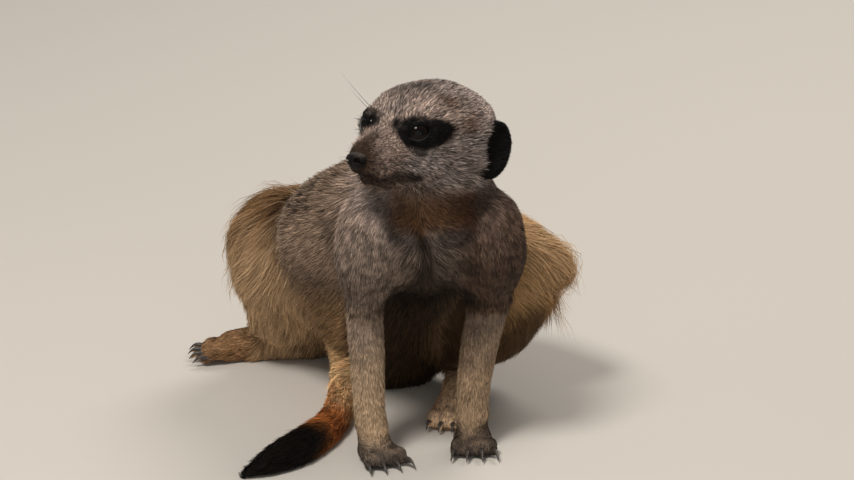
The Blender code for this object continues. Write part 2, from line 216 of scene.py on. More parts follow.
def head_axes():
    """The head's middle, its three axes as rows and its scale, from where the eyes and nose are."""
    left, right, nose = middle("eye_l"), middle("eye_r"), middle("nose")
    scale = np.linalg.norm(left - right) / (2 * EYE_AT[0])
    across = unit(left - right)
    brow = (left + right) / 2
    ahead = nose - brow
    ahead = unit(ahead - across * dot(ahead, across))
    rise = np.cross(across, ahead)
    slope = math.atan2(EYE_AT[2] - NOSE_AT[2], EYE_AT[1] - NOSE_AT[1])
    back = -math.cos(slope) * ahead + math.sin(slope) * rise
    up = -math.sin(slope) * ahead - math.cos(slope) * rise
    centre = brow - scale * (back * EYE_AT[1] + up * EYE_AT[2])
    return centre, np.stack((across, back, up)), scale


HEAD_AT, HEAD_AXES, HEAD_SCALE = head_axes()


def from_head(place):
    """A place or places in the head's frame as points of the model."""
    return HEAD_AT + np.asarray(place) @ HEAD_AXES * HEAD_SCALE


def to_head(points):
    return (points - HEAD_AT) @ HEAD_AXES.T / HEAD_SCALE


def mirrored(head):
    """The same places in the head's frame, all on the animal's left."""
    return np.abs(head) * (1, 0, 0) + head * (0, 1, 1)


def from_chest(place):
    """A place or places in the body's frame as points of the model."""
    return (np.asarray(place) + CHEST_FOOT) * CM


def to_chest(points):
    return points / CM - CHEST_FOOT


# Meshes as arrays.

def read(items, name, width=1, number=np.int32):
    """An attribute of every item of a mesh as an array, in rows of this width."""
    flat = np.empty(len(items) * width, number)
    items.foreach_get(name, flat)
    return flat.reshape(-1, width) if width > 1 else flat


def points_of(mesh):
    return read(mesh.vertices, "co", 3, float)


def put_points(mesh, points):
    mesh.vertices.foreach_set("co", points.ravel())
    mesh.update()


def normals_of(mesh):
    return read(mesh.vertex_normals, "vector", 3, np.float32).astype(float)


def triangles_of(mesh):
    mesh.calc_loop_triangles()
    return read(mesh.loop_triangles, "vertices", 3)


class Web:
    """Which points of a mesh are neighbours, to spread values over it."""

    def __init__(self, mesh):
        ends = read(mesh.edges, "vertices", 2)
        self.here = np.concatenate((ends[:, 0], ends[:, 1]))
        self.there = np.concatenate((ends[:, 1], ends[:, 0]))
        self.count = len(mesh.vertices)
        self.neighbours = np.maximum(np.bincount(self.here, minlength=self.count), 1)

    def mean(self, values):
        """The mean of each point's neighbours."""
        columns = values.reshape(self.count, -1).T
        sums = [np.bincount(self.here, column[self.there], self.count) for column in columns]
        return (np.stack(sums, axis=1) / self.neighbours[:, None]).reshape(values.shape)

    def spread(self, values, rounds, share=0.5):
        """Values after so many rounds in which each point moves a share of the way to its neighbours."""
        values = values.astype(float)
        share = share[:, None] if np.ndim(share) and values.ndim > 1 else share
        for _ in range(rounds):
            values = values + (self.mean(values) - values) * share
        return values


def new_object(name, data):
    made = bpy.data.objects.new(name, data)
    bpy.context.collection.objects.link(made)
    return made


def mesh_from(name, points, faces):
    """A smooth mesh of triangles, or of quads, from two arrays."""
    mesh = bpy.data.meshes.new(name)
    mesh.vertices.add(len(points))
    mesh.vertices.foreach_set("co", np.asarray(points, np.float32).ravel())
    mesh.loops.add(faces.size)
    mesh.loops.foreach_set("vertex_index", np.asarray(faces, np.int32).ravel())
    mesh.polygons.add(len(faces))
    mesh.polygons.foreach_set("loop_start", np.arange(0, faces.size, faces.shape[1], dtype=np.int32))
    mesh.update(calc_edges=True)
    smooth(mesh)
    return mesh


def smooth(mesh):
    mesh.polygons.foreach_set("use_smooth", np.ones(len(mesh.polygons), bool))


def merged(made, node):
    """A node's surface with its doubled points joined, as (points, normals, triangles)."""
    work = bmesh.new()
    work.from_mesh(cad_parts[node].data)
    bmesh.ops.remove_doubles(work, verts=work.verts, dist=1e-6)
    bmesh.ops.triangulate(work, faces=work.faces)
    bmesh.ops.recalc_face_normals(work, faces=work.faces)
    work.to_mesh(made)
    work.free()
    return points_of(made), normals_of(made), triangles_of(made)


def solids(nodes):
    """The nodes' surfaces together: points, swollen points, triangles and the node that each belongs to."""
    made = bpy.data.meshes.new("solid")
    points, swollen, faces, owner = [], [], [], []
    count = 0
    for number, node in enumerate(nodes):
        p, n, t = merged(made, node)
        points.append(p)
        swollen.append(p + n * SWELL)
        faces.append(t + count)
        owner.append(np.full(len(t), number))
        count += len(p)
    bpy.data.meshes.remove(made)
    return np.concatenate(points), np.concatenate(swollen), np.concatenate(faces), np.concatenate(owner)


def remade(points, faces):
    """The closed surfaces as one skin of even quads."""
    source = new_object("source", mesh_from("source", points, faces))
    remesh = source.modifiers.new("remesh", "REMESH")
    remesh.mode = "VOXEL"
    remesh.voxel_size = VOXEL
    whole = bpy.data.meshes.new_from_object(source.evaluated_get(bpy.context.evaluated_depsgraph_get()))
    bpy.data.objects.remove(source)
    return whole


def largest_island(mesh):
    """Deletes all but the largest connected surface, as closed hollows can be left inside."""
    work = bmesh.new()
    work.from_mesh(mesh)
    work.verts.ensure_lookup_table()
    web = Web(mesh)
    island = np.arange(web.count)
    while True:
        lower = island.copy()
        np.minimum.at(lower, web.here, island[web.there])
        lower = lower[lower]
        if (lower == island).all():
            break
        island = lower
    main = np.bincount(island).argmax()
    strays = [work.verts[i] for i in np.flatnonzero(island != main)]
    bmesh.ops.delete(work, geom=strays, context="VERTS")
    work.to_mesh(mesh)
    work.free()


def refined(mesh, chosen, rounds):
    """Splits the faces whose middles are chosen, each round into four."""
    work = bmesh.new()
    work.from_mesh(mesh)
    for level in range(rounds):
        middles = np.array([f.calc_center_median() for f in work.faces])
        keep = chosen(middles, level)
        edges = {e for f, wanted in zip(work.faces, keep) if wanted for e in f.edges}
        bmesh.ops.subdivide_edges(work, edges=list(edges), cuts=1, use_grid_fill=True)
    bmesh.ops.triangulate(work, faces=[f for f in work.faces if len(f.verts) > 4])
    work.to_mesh(mesh)
    work.free()


def path_distance(points, path):
    """Distance to a line through places, and how far along it the nearest point is, from 0 to 1."""
    path = np.asarray(path, float)
    best = np.full(len(points), 1e9)
    along = np.zeros(len(points))
    for number, (a, b) in enumerate(zip(path, path[1:])):
        t = np.clip((points - a) @ (b - a) / dot(b - a, b - a), 0, 1)
        gap = np.linalg.norm(points - (a + t[:, None] * (b - a)), axis=1)
        nearer = gap < best
        best = np.where(nearer, gap, best)
        along = np.where(nearer, (number + t) / (len(path) - 1), along)
    return best, along


class Skin:
    """The one skin, with what each of its points belongs to and where the coat goes from it."""

    def __init__(self):
        points, _, faces, owner = solids(FLESH)
        _, swollen, shell, _ = solids(FLESH + FACE)
        self.solid = BVHTree.FromPolygons(points.tolist(), faces.tolist())
        self.owner = owner
        self.mesh = remade(swollen, shell)
        largest_island(self.mesh)
        self.smooth_body()
        self.refine_face()
        self.weigh_parts()
        self.inset()
        self.sculpt()
        self.settle()

    def parts_at(self, points):
        """The number of the flesh node nearest to each point."""
        return np.array([self.owner[self.solid.find_nearest(p)[2]] for p in points.tolist()])

    def smooth_body(self):
        web = Web(self.mesh)
        points = points_of(self.mesh)
        fine = np.isin(self.parts_at(points), numbered(*FINE_PARTS)).astype(float)
        _, y, z = to_head(points).T
        muzzle = step(-1.5, -2.4, y) * step(3.5, 2.8, np.abs(z)) * (y > -6)
        fine = web.spread(np.maximum(fine, muzzle), 4)
        share = 0.5 * (FINE_ROUNDS / BODY_ROUNDS) ** fine
        put_points(self.mesh, web.spread(points, BODY_ROUNDS, share))

    def refine_face(self):
        """Finer faces round the eyes and on the muzzle, for lids, lips and the sides of the nose."""
        def chosen(middles, level):
            head = mirrored(to_head(middles))
            eye = np.linalg.norm(head - EYE_AT, axis=1)
            lip = path_distance(head, LIP)[0]
            return (eye < (0.98, 0.8)[level]) | (lip < (0.45, 0.25)[level])

        refined(self.mesh, chosen, REFINING)
        self.mesh.update()

    def weigh_parts(self):
        """How much each point belongs to each part, blended across their borders."""
        self.web = Web(self.mesh)
        points = points_of(self.mesh)
        parts = self.parts_at(points)
        x, y, z = to_chest(points).T
        elbow = (parts == FLESH.index("trunk")) & (z < ELBOW_TOP) & (y < ELBOW_BACK)
        for sign, name in SIDES:
            arm = elbow & ((x - CHEST_MIDDLE) * sign > ELBOW_INSIDE)
            parts[arm & (z >= ELBOW)] = FLESH.index("upper_arm_" + name)
            parts[arm & (z < ELBOW)] = FLESH.index("forearm_" + name)
        share = np.zeros((len(points), len(FLESH)))
        share[np.arange(len(points)), parts] = 1.0
        self.part = parts
        self.share = self.web.spread(share, 8)
        self.soft_share = self.web.spread(share, 30)
        self.wide_body = self.web.spread(self.near("trunk"), 140)

    def inset(self):
        """Draws the skin in by the depth of the coat, less where a part is thin or stands on the floor."""
        points, normals = points_of(self.mesh), normals_of(self.mesh)
        depth = self.soft_share @ np.array([COAT[kind(part)][1] * MM for part in FLESH])
        head = to_head(points)
        eye = np.linalg.norm(mirrored(head) - EYE_AT, axis=1)
        nose = np.linalg.norm(head - NOSE_AT, axis=1)
        face = np.maximum(step(1.3, 0.7, eye), step(2.0, 0.5, nose)) * self.on("head")
        depth = depth * (1 - 0.75 * face)
        underside = step(0.3, 0.8, -normals[:, 2]) * step(9 * MM, 2 * MM, points[:, 2])
        depth = depth * (1 - 0.93 * underside)
        points = points + normals * self.shrunk(points, normals)[:, None]
        depth = self.web.spread(np.minimum(depth, 0.28 * self.thickness(points, normals)), 10)
        points = self.web.spread(points - normals * depth[:, None], 3, 0.4 * (1 - face))
        put_points(self.mesh, points)

    def shrunk(self, points, normals):
        """How far smoothing has drawn each point in from the solids, evened out over the skin."""
        found = np.array([self.solid.find_nearest(p)[0] for p in points.tolist()])
        return self.web.spread(np.clip(dot(found - points, normals), -1 * MM, 2 * MM), 12)

    def thickness(self, points, normals):
        """How thick the body is under each point."""
        tree = BVHTree.FromPolygons(points.tolist(), triangles_of(self.mesh).tolist())
        starts = points - normals * 0.3 * MM
        hits = [tree.ray_cast(a, b, THICKEST)[3] for a, b in zip(starts.tolist(), (-normals).tolist())]
        return np.array([THICKEST if hit is None else hit for hit in hits])

    def sculpt(self):
        """Lids round the eyes, lips, a chin set back under them and folds at the corners of the mouth."""
        points, normals = points_of(self.mesh), normals_of(self.mesh)
        side = mirrored(to_head(points))
        self.lip = self.laid(LIP, points)
        gap, along = path_distance(side, self.lip)
        y, z = side[:, 1], side[:, 2]
        groove = np.exp(-((gap / 0.085) ** 2)) * step(1.02, 0.92, along)
        below = step(0.02, 0.16, np.interp(y, *lip_height()) - z)
        jaw = below * step(0.75, 0.1, gap) * step(-1.9, -2.4, y)
        puff = np.exp(-(((gap - 0.2) / 0.16) ** 2)) * (1 - below) * step(-2.2, -3.0, y)
        move = (-0.55 * groove - 0.7 * jaw + 0.2 * puff) * MM * self.on("head")
        points = points + normals * move[:, None]
        elbow = self.near("upper_arm", "forearm") * step(2.2, 0.6, np.abs(to_chest(points)[:, 2] - 7.0))
        points = self.web.spread(points, 60, 0.5 * elbow)
        shoulder = self.near("upper_arm") * self.near("trunk")
        points = self.web.spread(points, 90, 0.5 * np.clip(5 * shoulder, 0, 1))
        for sign, name in SIDES:
            points = self.shut_lids(points, sign, name)
        eye = step(1.2, 0.9, np.linalg.norm(side - EYE_AT, axis=1))
        put_points(self.mesh, self.web.spread(points, 2, 0.35 * eye))

    def laid(self, path, points):
        """A path in the head's frame, in finer steps and moved onto the surface."""
        tree = BVHTree.FromPolygons(points.tolist(), triangles_of(self.mesh).tolist())
        stations = np.linspace(0, len(path) - 1, 4 * len(path))
        fine = np.column_stack([np.interp(stations, range(len(path)), axis) for axis in zip(*path)])
        return to_head(np.array([tree.find_nearest(p)[0] for p in from_head(fine).tolist()]))

    def shut_lids(self, points, sign, name):
        """Pulls the skin over the eyeball as lids, and tucks it in behind the ball between them."""
        centre, radius, axes = eye_frame(sign, name)
        offset = points - centre
        distance = np.linalg.norm(offset, axis=1)
        across, rise, out = (unit(offset) @ axes.T).T
        q = lid_share(across, rise, out)
        reach = step(radius + 5 * MM, radius + 2 * MM, distance) * step(-0.3, 0.0, out)
        lid = np.maximum(distance, radius + LID_THICKNESS)
        lid = lid + (distance - lid) * step(1.5, 2.4, q)
        tucked = radius - LID_TUCK
        aim = tucked + (lid - tucked) * step(0.86, 1.02, q)
        return points + unit(offset) * ((aim - distance) * reach)[:, None]

    def settle(self):
        """The final skin: nothing below the floor, and the arrays that the coat grows from."""
        points = points_of(self.mesh)
        points[:, 2] = np.maximum(points[:, 2], 0.0)
        put_points(self.mesh, points)
        self.points, self.normals = points, normals_of(self.mesh)
        self.triangles = triangles_of(self.mesh)
        self.chest, self.head = to_chest(points), to_head(points)
        self.tree = BVHTree.FromPolygons(points.tolist(), self.triangles.tolist())

    def on(self, *names):
        """How much each point belongs to these parts."""
        return self.share[:, numbered(*names)].sum(axis=1)

    def near(self, *names):
        """The same, blended further across their borders."""
        return self.soft_share[:, numbered(*names)].sum(axis=1)


def lip_height():
    """The lip's height against its place along the head, for interpolation."""
    line = sorted((y, z) for _, y, z in LIP)
    return [y for y, _ in line], [z for _, z in line]


def eye_frame(sign, name):
    """An eyeball's centre, radius and axes: along the lids, up across them and the way it looks."""
    low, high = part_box("eye_" + name)
    radius = max(high - low) / 2
    out = unit(GAZE * (sign, 1, 1)) @ HEAD_AXES
    back = unit(HEAD_AXES[1] - out * dot(HEAD_AXES[1], out))
    up = np.cross(out, back) * sign
    up = up if dot(up, HEAD_AXES[2]) > 0 else -up
    tilt = math.radians(LID_TILT)
    along = back * math.cos(tilt) + up * math.sin(tilt)
    rise = up * math.cos(tilt) - back * math.sin(tilt)
    return middle("eye_" + name), radius, np.stack((along, rise, out))


def lid_share(across, rise, out):
    """How far from the middle of the opening a direction is, where 1 is the edge of the lids."""
    turn_across = np.degrees(np.arctan2(across, out))
    turn_up = np.degrees(np.arctan2(rise, out))
    return np.sqrt((turn_across / LID_WIDTH) ** 2 + (turn_up / LID_HEIGHT) ** 2)


# The colours of the coat, as linear red, green and blue.
CROWN = (0.345, 0.27, 0.237)
FOREHEAD = (0.20, 0.163, 0.15)
BROW = (0.47, 0.36, 0.30)
CHEEK = (0.32, 0.27, 0.25)
MUZZLE = (0.31, 0.225, 0.185)
LIP_BROWN = (0.028, 0.015, 0.0095)
NOSE_BROWN = (0.055, 0.031, 0.019)
BLACK = (0.0022, 0.0017, 0.0013)
FRINGE = (0.075, 0.036, 0.02)
# Ochre throat fur, darkened as painted shade under the jaw.
THROAT_OCHRE_AND_SHADE = (0.10, 0.045, 0.016)
NECK_GREY = (0.36, 0.295, 0.27)
# The chest's grey fur, darkened as painted shade under the head.
CHEST_GREY_AND_SHADE = (0.068, 0.052, 0.045)
# The dark line where the chest's coat parts, also painted as shade in the hollow between the forelegs.
PARTING_AND_SHADE = (0.022, 0.014, 0.009)
SHOULDER_GREY = (0.26, 0.195, 0.157)
LEG_BUFF = (0.5, 0.355, 0.225)
BACK_BROWN = (0.30, 0.21, 0.15)
BAR_BROWN = (0.04, 0.021, 0.011)
HIP_OCHRE = (0.5, 0.3, 0.135)
THIGH_BUFF = (0.54, 0.365, 0.21)
PAW_GREY = (0.17, 0.128, 0.105)
TOE_GREY = (0.035, 0.03, 0.028)
# The left hind foot's buff, painted much lighter than the right's as painted light.
LIT_FOOT_BUFF = (0.9, 0.66, 0.44)
# The left hip: pale ochre as painted light on its upper outer side, and dark brown as painted shade low down
# behind the foreleg.
HIP_LIT_OCHRE = (0.62, 0.40, 0.21)
HIP_SHADE_BROWN = (0.085, 0.047, 0.023)
FOOT_BUFF = (0.33, 0.185, 0.09)
# Dark belly fur, also painted as shade low between the forelegs and thighs.
BELLY_BROWN_AND_SHADE = (0.009, 0.0042, 0.002)
TAIL_OCHRE = (0.88, 0.58, 0.30)
TAIL_RUST = (0.60, 0.21, 0.055)
TAIL_BLACK = (0.007, 0.0045, 0.003)

# The colour that each part starts from.
PART_COLOUR = {
    "head": CROWN,
    "neck": NECK_GREY,
    "trunk": BACK_BROWN,
    "ear": BLACK,
    "upper_arm": SHOULDER_GREY,
    "forearm": LEG_BUFF,
    "forepaw": LEG_BUFF,
    "thigh_l": HIP_OCHRE,
    "thigh_r": THIGH_BUFF,
    "shank_l": HIP_OCHRE,
    "shank_r": THIGH_BUFF,
    "hind_foot_l": LIT_FOOT_BUFF,
    "hind_foot_r": FOOT_BUFF,
    "tail_root": TAIL_OCHRE,
    "tail_tip": TAIL_RUST,
}
# How far apart the bars across the back are.
BAR_SPACING = 1.15
# How the photographed animal's shaded left side and the upper side of its right thigh are darker.
LEFT_SHADE = (0.40, 0.335, 0.30)
THIGH_SHADE = (0.52, 0.43, 0.34)

# Dark spots in rows on the sides of the muzzle, where the whiskers grow.
WHISKER_SPOTS = [(-3.75 + 0.3 * i + 0.1 * (j % 2), -0.62 - 0.24 * j) for i in range(4) for j in range(3)]


def eye_patch(head):
    """1 inside the dark patch round each eye, 0 outside it, with a soft edge."""
    turn = math.radians(PATCH_TILT)
    y, z = head[:, 1] - PATCH_AT[0], head[:, 2] - PATCH_AT[1]
    u = (math.cos(turn) * y + math.sin(turn) * z) / PATCH_RADII[0]
    v = (math.cos(turn) * z - math.sin(turn) * y) / PATCH_RADII[1]
    v = v / np.where(u > 0, 1.0 - 0.45 * np.clip(u, 0, 1) ** 2, 1.0)
    ring = np.sqrt(u**2 + v**2)
    drop = np.hypot((head[:, 1] - DROP_AT[0]) / DROP_RADII[0], (head[:, 2] - DROP_AT[1]) / DROP_RADII[1])
    inside = np.maximum(step(1.26, 0.84, ring), 0.8 * step(1.2, 0.4, drop))
    return inside * step(0.15, 0.4, np.abs(head[:, 0])), ring


def markings(skin):
    """The colour of the coat at each point of the skin, and how much darker and lighter hairs fleck it."""
    wander = noise(skin.points, 9 * MM, 3) - 0.5
    fine = noise(skin.points, 2.5 * MM, 4) - 0.5
    saddle = skin.wide_body * step(-0.1, 0.35, skin.normals[:, 2] + 0.35 * skin.normals[:, 1])
    saddle = saddle * step(3.5, 5.5, skin.chest[:, 1])

    base = skin.soft_share @ np.array([row_of(PART_COLOUR, part) for part in FLESH], float)
    merging = skin.on("trunk", "neck", "upper_arm", "thigh", "shank")
    base = skin.web.spread(base, 160, 0.5 * np.clip(1.5 * merging, 0, 1))
    base = torso_marks(skin, base, wander)
    base = limb_marks(skin, base, wander, fine)
    base = back_marks(skin, base, wander, saddle)
    base = tail_marks(skin, base, wander)
    base = head_marks(skin, base, wander, fine)
    spots = np.column_stack((0.16 + 0.3 * saddle + 0.14 * skin.on("head"), 0.22 + 0.06 * skin.on("head")))
    return np.clip(base * (1 + 0.35 * fine + 0.25 * wander)[:, None], 0.002, 1.0), spots


def torso_marks(skin, base, wander):
    """Flanks ochre low down; the chest grey, darkened as painted shade under the head; a dark line where the
    coat parts, widening into painted shade between the forelegs; the belly dark brown, with painted shade
    between the forelegs and thighs; the throat ochre, darkened as painted shade under the jaw.
    """
    x, y, z = skin.chest.T
    body = skin.wide_body
    low = step(7.5, 3.5, z + wander)
    base = mixed(base, HIP_OCHRE, body * low * step(3.0, 6.0, y) * 0.8)
    # Grey chest fur on the front, darkened as painted shade under the head.
    front = step(-0.25, -0.6, skin.normals[:, 1]) * step(4.2, 2.0, y)
    chest_share = (body + skin.on("neck") * step(13.0, 11.5, z)) * front
    base = mixed(base, CHEST_GREY_AND_SHADE, np.clip(chest_share, 0, 1) * 0.85)
    # Painted shade: the dark line where the coat parts widens low down into the shade between the forelegs.
    half = np.interp(z, PARTING_Z, PARTING_AND_SHADE_HALF)
    aside = np.abs(x - np.interp(z, PARTING_Z, PARTING_X) + 0.3 * wander)
    parting_and_shade = step(1.3 * half + 0.12, half, aside) * step(12.0, 11.2, z) * step(5.0, 3.5, y)
    torso = skin.near("trunk") + skin.on("neck", "upper_arm")
    base = mixed(base, PARTING_AND_SHADE, np.clip(torso * parting_and_shade, 0, 1) * 0.9)
    # Dark brown belly, with painted shade on the front-facing fur low between the forelegs and thighs.
    under = step(7.9, 7.1, z + wander) * step(0.1, -0.3, skin.normals[:, 1]) * step(10.5, 9.0, y)
    inner = np.clip(body + skin.on("thigh", "shank_r"), 0, 1) * step(2.9, 2.3, np.abs(x + 0.6))
    base = mixed(base, BELLY_BROWN_AND_SHADE, np.clip(under * inner, 0, 1) * 0.92)
    # Ochre throat, darkened as painted shade under the jaw.
    throat = skin.on("neck", "head") * step(0.9, -0.2, y) * step(2.2, 1.2, np.abs(x - 0.2))
    return mixed(base, THROAT_OCHRE_AND_SHADE, np.clip(throat * step(10.6, 11.4, z), 0, 1) * 0.85)


def limb_marks(skin, base, wander, fine):
    """Forelegs greyer above and darker at the feet; painted shade on the left side, the left forepaw and the
    upper side of the right thigh; the upper arms lighter towards the shoulders and darker towards the
    elbows, as painted light and shade; the left hip pale above as painted light and brown below as painted
    shade.
    """
    x, y, z = skin.chest.T
    count = len(base)
    legs = skin.on("forearm", "forepaw")
    left_leg = skin.on("forearm_l", "forepaw_l")
    base = mixed(base, SHOULDER_GREY, legs * step(2.6, 6.6, z + wander) * 0.85)
    # Painted light and shade: the upper arms lighter towards the shoulders and darker towards the elbows.
    arm_light_and_shade = np.interp(z, (6.5, 9.0, 10.8), (0.72, 0.8, 1.3))
    base = base * (1 + skin.on("upper_arm") * (arm_light_and_shade - 1))[:, None]
    # The left forepaw painted darker, as painted shade.
    paw_with_shade = np.array(PAW_GREY) * (1 - 0.35 * left_leg)[:, None]
    base = mixed(base, paw_with_shade, legs * step(1.7, 0.7, z + 0.7 * wander) * 0.8)
    base = mixed(base, TOE_GREY, legs * step(0.95, 0.35, z + 0.6 * fine) * 0.75)
    fore = skin.on("neck", "trunk", "upper_arm_l") * step(6.0, 3.0, y)
    shaded = fore * step(-0.2, 1.8, x + 0.6 * wander) + 0.25 * left_leg
    base = base * mixed(np.ones((count, 3)), LEFT_SHADE, shaded)
    upper = skin.on("thigh_r") * step(0.1, 0.8, skin.normals[:, 2]) * step(4.0, 7.0, z)
    base = base * mixed(np.ones((count, 3)), THIGH_SHADE, upper)
    hip = skin.on("thigh_l", "shank_l")
    # Painted shade low down on the left hip, and painted light on its upper outer side.
    base = mixed(base, HIP_SHADE_BROWN, hip * step(6.2, 4.6, z + wander) * 0.9)
    return mixed(base, HIP_LIT_OCHRE, hip * step(2.5, 4.0, x + wander) * step(5.2, 6.8, z + wander) * 0.9)


def back_marks(skin, base, wander, saddle):
    """Short dark bars across the back, from the shoulders to the rump, and its lower right side darker."""
    x, y, z = skin.chest.T
    along = (y * 0.86 - z * 0.5) + 0.8 * wander
    bars = step(0.15, 0.75, np.sin(along * 2 * math.pi / BAR_SPACING + 3.0 * wander))
    broken = step(0.35, 0.6, noise(skin.points, 6 * MM, 9))
    base = mixed(base, BAR_BROWN, np.clip(saddle * bars * broken * 1.1, 0, 1))
    lower_back = skin.wide_body * step(8.2, 6.2, z) * step(-1.6, -4.8, x)
    return base * (1 - 0.42 * lower_back)[:, None]


def tail_marks(skin, base, wander):
    """The tail, rusty towards the middle and black at the end, and the rump's fur over its root."""
    x, y, z = skin.chest.T
    root = step(1.7, 1.2, np.hypot(x + 3.7, z - 0.8)) * step(5.5, 6.5, y) * step(10.0, 8.5, y)
    tail = np.clip(skin.on("tail_tip", "tail_root") + root, 0, 1)
    base = mixed(base, TAIL_OCHRE, tail * step(3.6, 4.8, y + 0.5 * wander))
    base = mixed(base, TAIL_RUST, tail * step(5.4, 3.0, y + 0.8 * wander))
    return mixed(base, TAIL_BLACK, tail * step(2.4, 0.3, y + 1.2 * wander))


def far_cheek(skin):
    """1 on the far cheek, which the photograph shows only as a pale fuzzy edge."""
    y = skin.head[:, 1]
    return step(0.45, 0.8, -skin.normals[:, 0]) * step(-0.3, -1.2, y) * step(-4.2, -3.6, y)


def head_marks(skin, base, wander, fine):
    """The grizzled crown with painted shade on its upper side, pale brow and cheeks, ochre throat darkened
    as painted shade, muzzle, dark eye patches and ears.
    """
    head = skin.head
    x, y, z = head.T
    on = skin.on("head") + skin.on("neck") * step(-2.4, -1.6, z)
    brow = step(1.1, 0.2, np.abs(z - 1.05 - 0.1 * y)) * step(-0.4, -1.4, y)
    forehead = step(-0.3, -1.6, y) * step(0.2, 0.8, z)
    base = mixed(base, FOREHEAD, on * np.clip(forehead + wander, 0, 1) * 0.85)
    base = mixed(base, BROW, on * np.clip(brow + wander, 0, 1) * 0.9)
    apex = step(0.85, 0.15, np.hypot(x - 0.1, y + 0.6) + 1.2 * wander) * step(1.2, 1.5, z)
    base = mixed(base, np.array(FOREHEAD) * 0.3, on * apex * 0.7)
    cheek = step(0.6, -0.2, z) * step(-3.2, -2.2, y) * step(2.2, 0.8, y)
    base = mixed(base, CHEEK, on * np.clip(cheek + 0.8 * wander, 0, 1) * 0.9)
    # Painted shade: the upward-facing crown, except on its near side, darker.
    top = on * step(0.35, 0.9, skin.normals[:, 2]) * step(0.6, 1.2, z) * step(1.1, 0.2, x)
    base = base * (1 - 0.3 * top)[:, None]
    base = mixed(base, BROW, on * far_cheek(skin) * step(0.6, 0.2, z) * 0.8)
    base = muzzle_marks(skin, base, on)
    patch, ring = eye_patch(head)
    fringe = step(1.45, 1.0, ring) * step(-1.8, -1.2, y) + step(1.25, 1.0, ring) * 0.6
    base = mixed(base, FRINGE, on * np.clip(fringe, 0, 1) * 0.6 * step(0.3, 0.6, np.abs(x)))
    base = mixed(base, BLACK, on * step(0.05, 0.95, patch + 0.5 * fine * (patch > 0.02)))
    return mixed(base, BLACK, np.clip(skin.on("ear") * 1.6, 0, 1))


def muzzle_marks(skin, base, on):
    """The brown muzzle and nose bridge, dark lips with painted shade in the band under the upper lip, spots
    where the whiskers grow, and the throat, darkened as painted shade under the jaw.
    """
    side = mirrored(skin.head)
    x, y, z = side.T
    base = mixed(base, MUZZLE, on * step(-2.2, -3.1, y) * step(0.9, 0.2, z) * 0.85)
    base = mixed(base, np.array(MUZZLE) * 0.6, on * step(-1.1, -1.7, z) * step(-0.8, -2.4, y) * 0.8)
    tip = step(1.0, 0.45, np.linalg.norm((skin.head - NOSE_AT) * (1.0, 0.8, 1.0), axis=1))
    base = mixed(base, NOSE_BROWN, on * tip)
    base = mixed(base, NOSE_BROWN, on * step(0.55, 0.2, x) * step(-2.9, -3.6, y) * 0.8)
    chin_line = np.interp(y, *lip_height())
    rear = step(0.2, 1.4, y) * step(2.2, 1.2, y) * step(-1.5, -0.6, z)
    base = base * (1 + 0.5 * on * rear)[:, None]
    # Ochre throat below the lip line, darkened as painted shade under the jaw.
    throat = step(0.1, 0.7, chin_line - z) * step(0.6, -0.2, y)
    base = mixed(base, THROAT_OCHRE_AND_SHADE, on * throat * 0.75)
    gap = path_distance(side, skin.lip)[0]
    # The dark brown lower lip and the band below the lip line, partly painted shade under the upper lip.
    chin = step(-0.15, 0.0, chin_line - z) * step(0.75, 0.45, chin_line - z) * step(-2.3, -2.9, y)
    base = mixed(base, LIP_BROWN, on * np.maximum(step(0.42, 0.14, gap), chin) * 0.8)
    corner = step(0.36, 0.12, np.linalg.norm(side - skin.lip[-1], axis=1))
    base = mixed(base, BLACK, on * np.maximum(step(0.12, 0.04, gap) * 0.5, corner) * 0.7)
    spot = np.min([np.hypot(y - row_y, z - row_z) for row_y, row_z in WHISKER_SPOTS], axis=0)
    return mixed(base, LIP_BROWN, on * step(0.085, 0.04, spot) * step(0.3, 0.45, x) * 0.75)


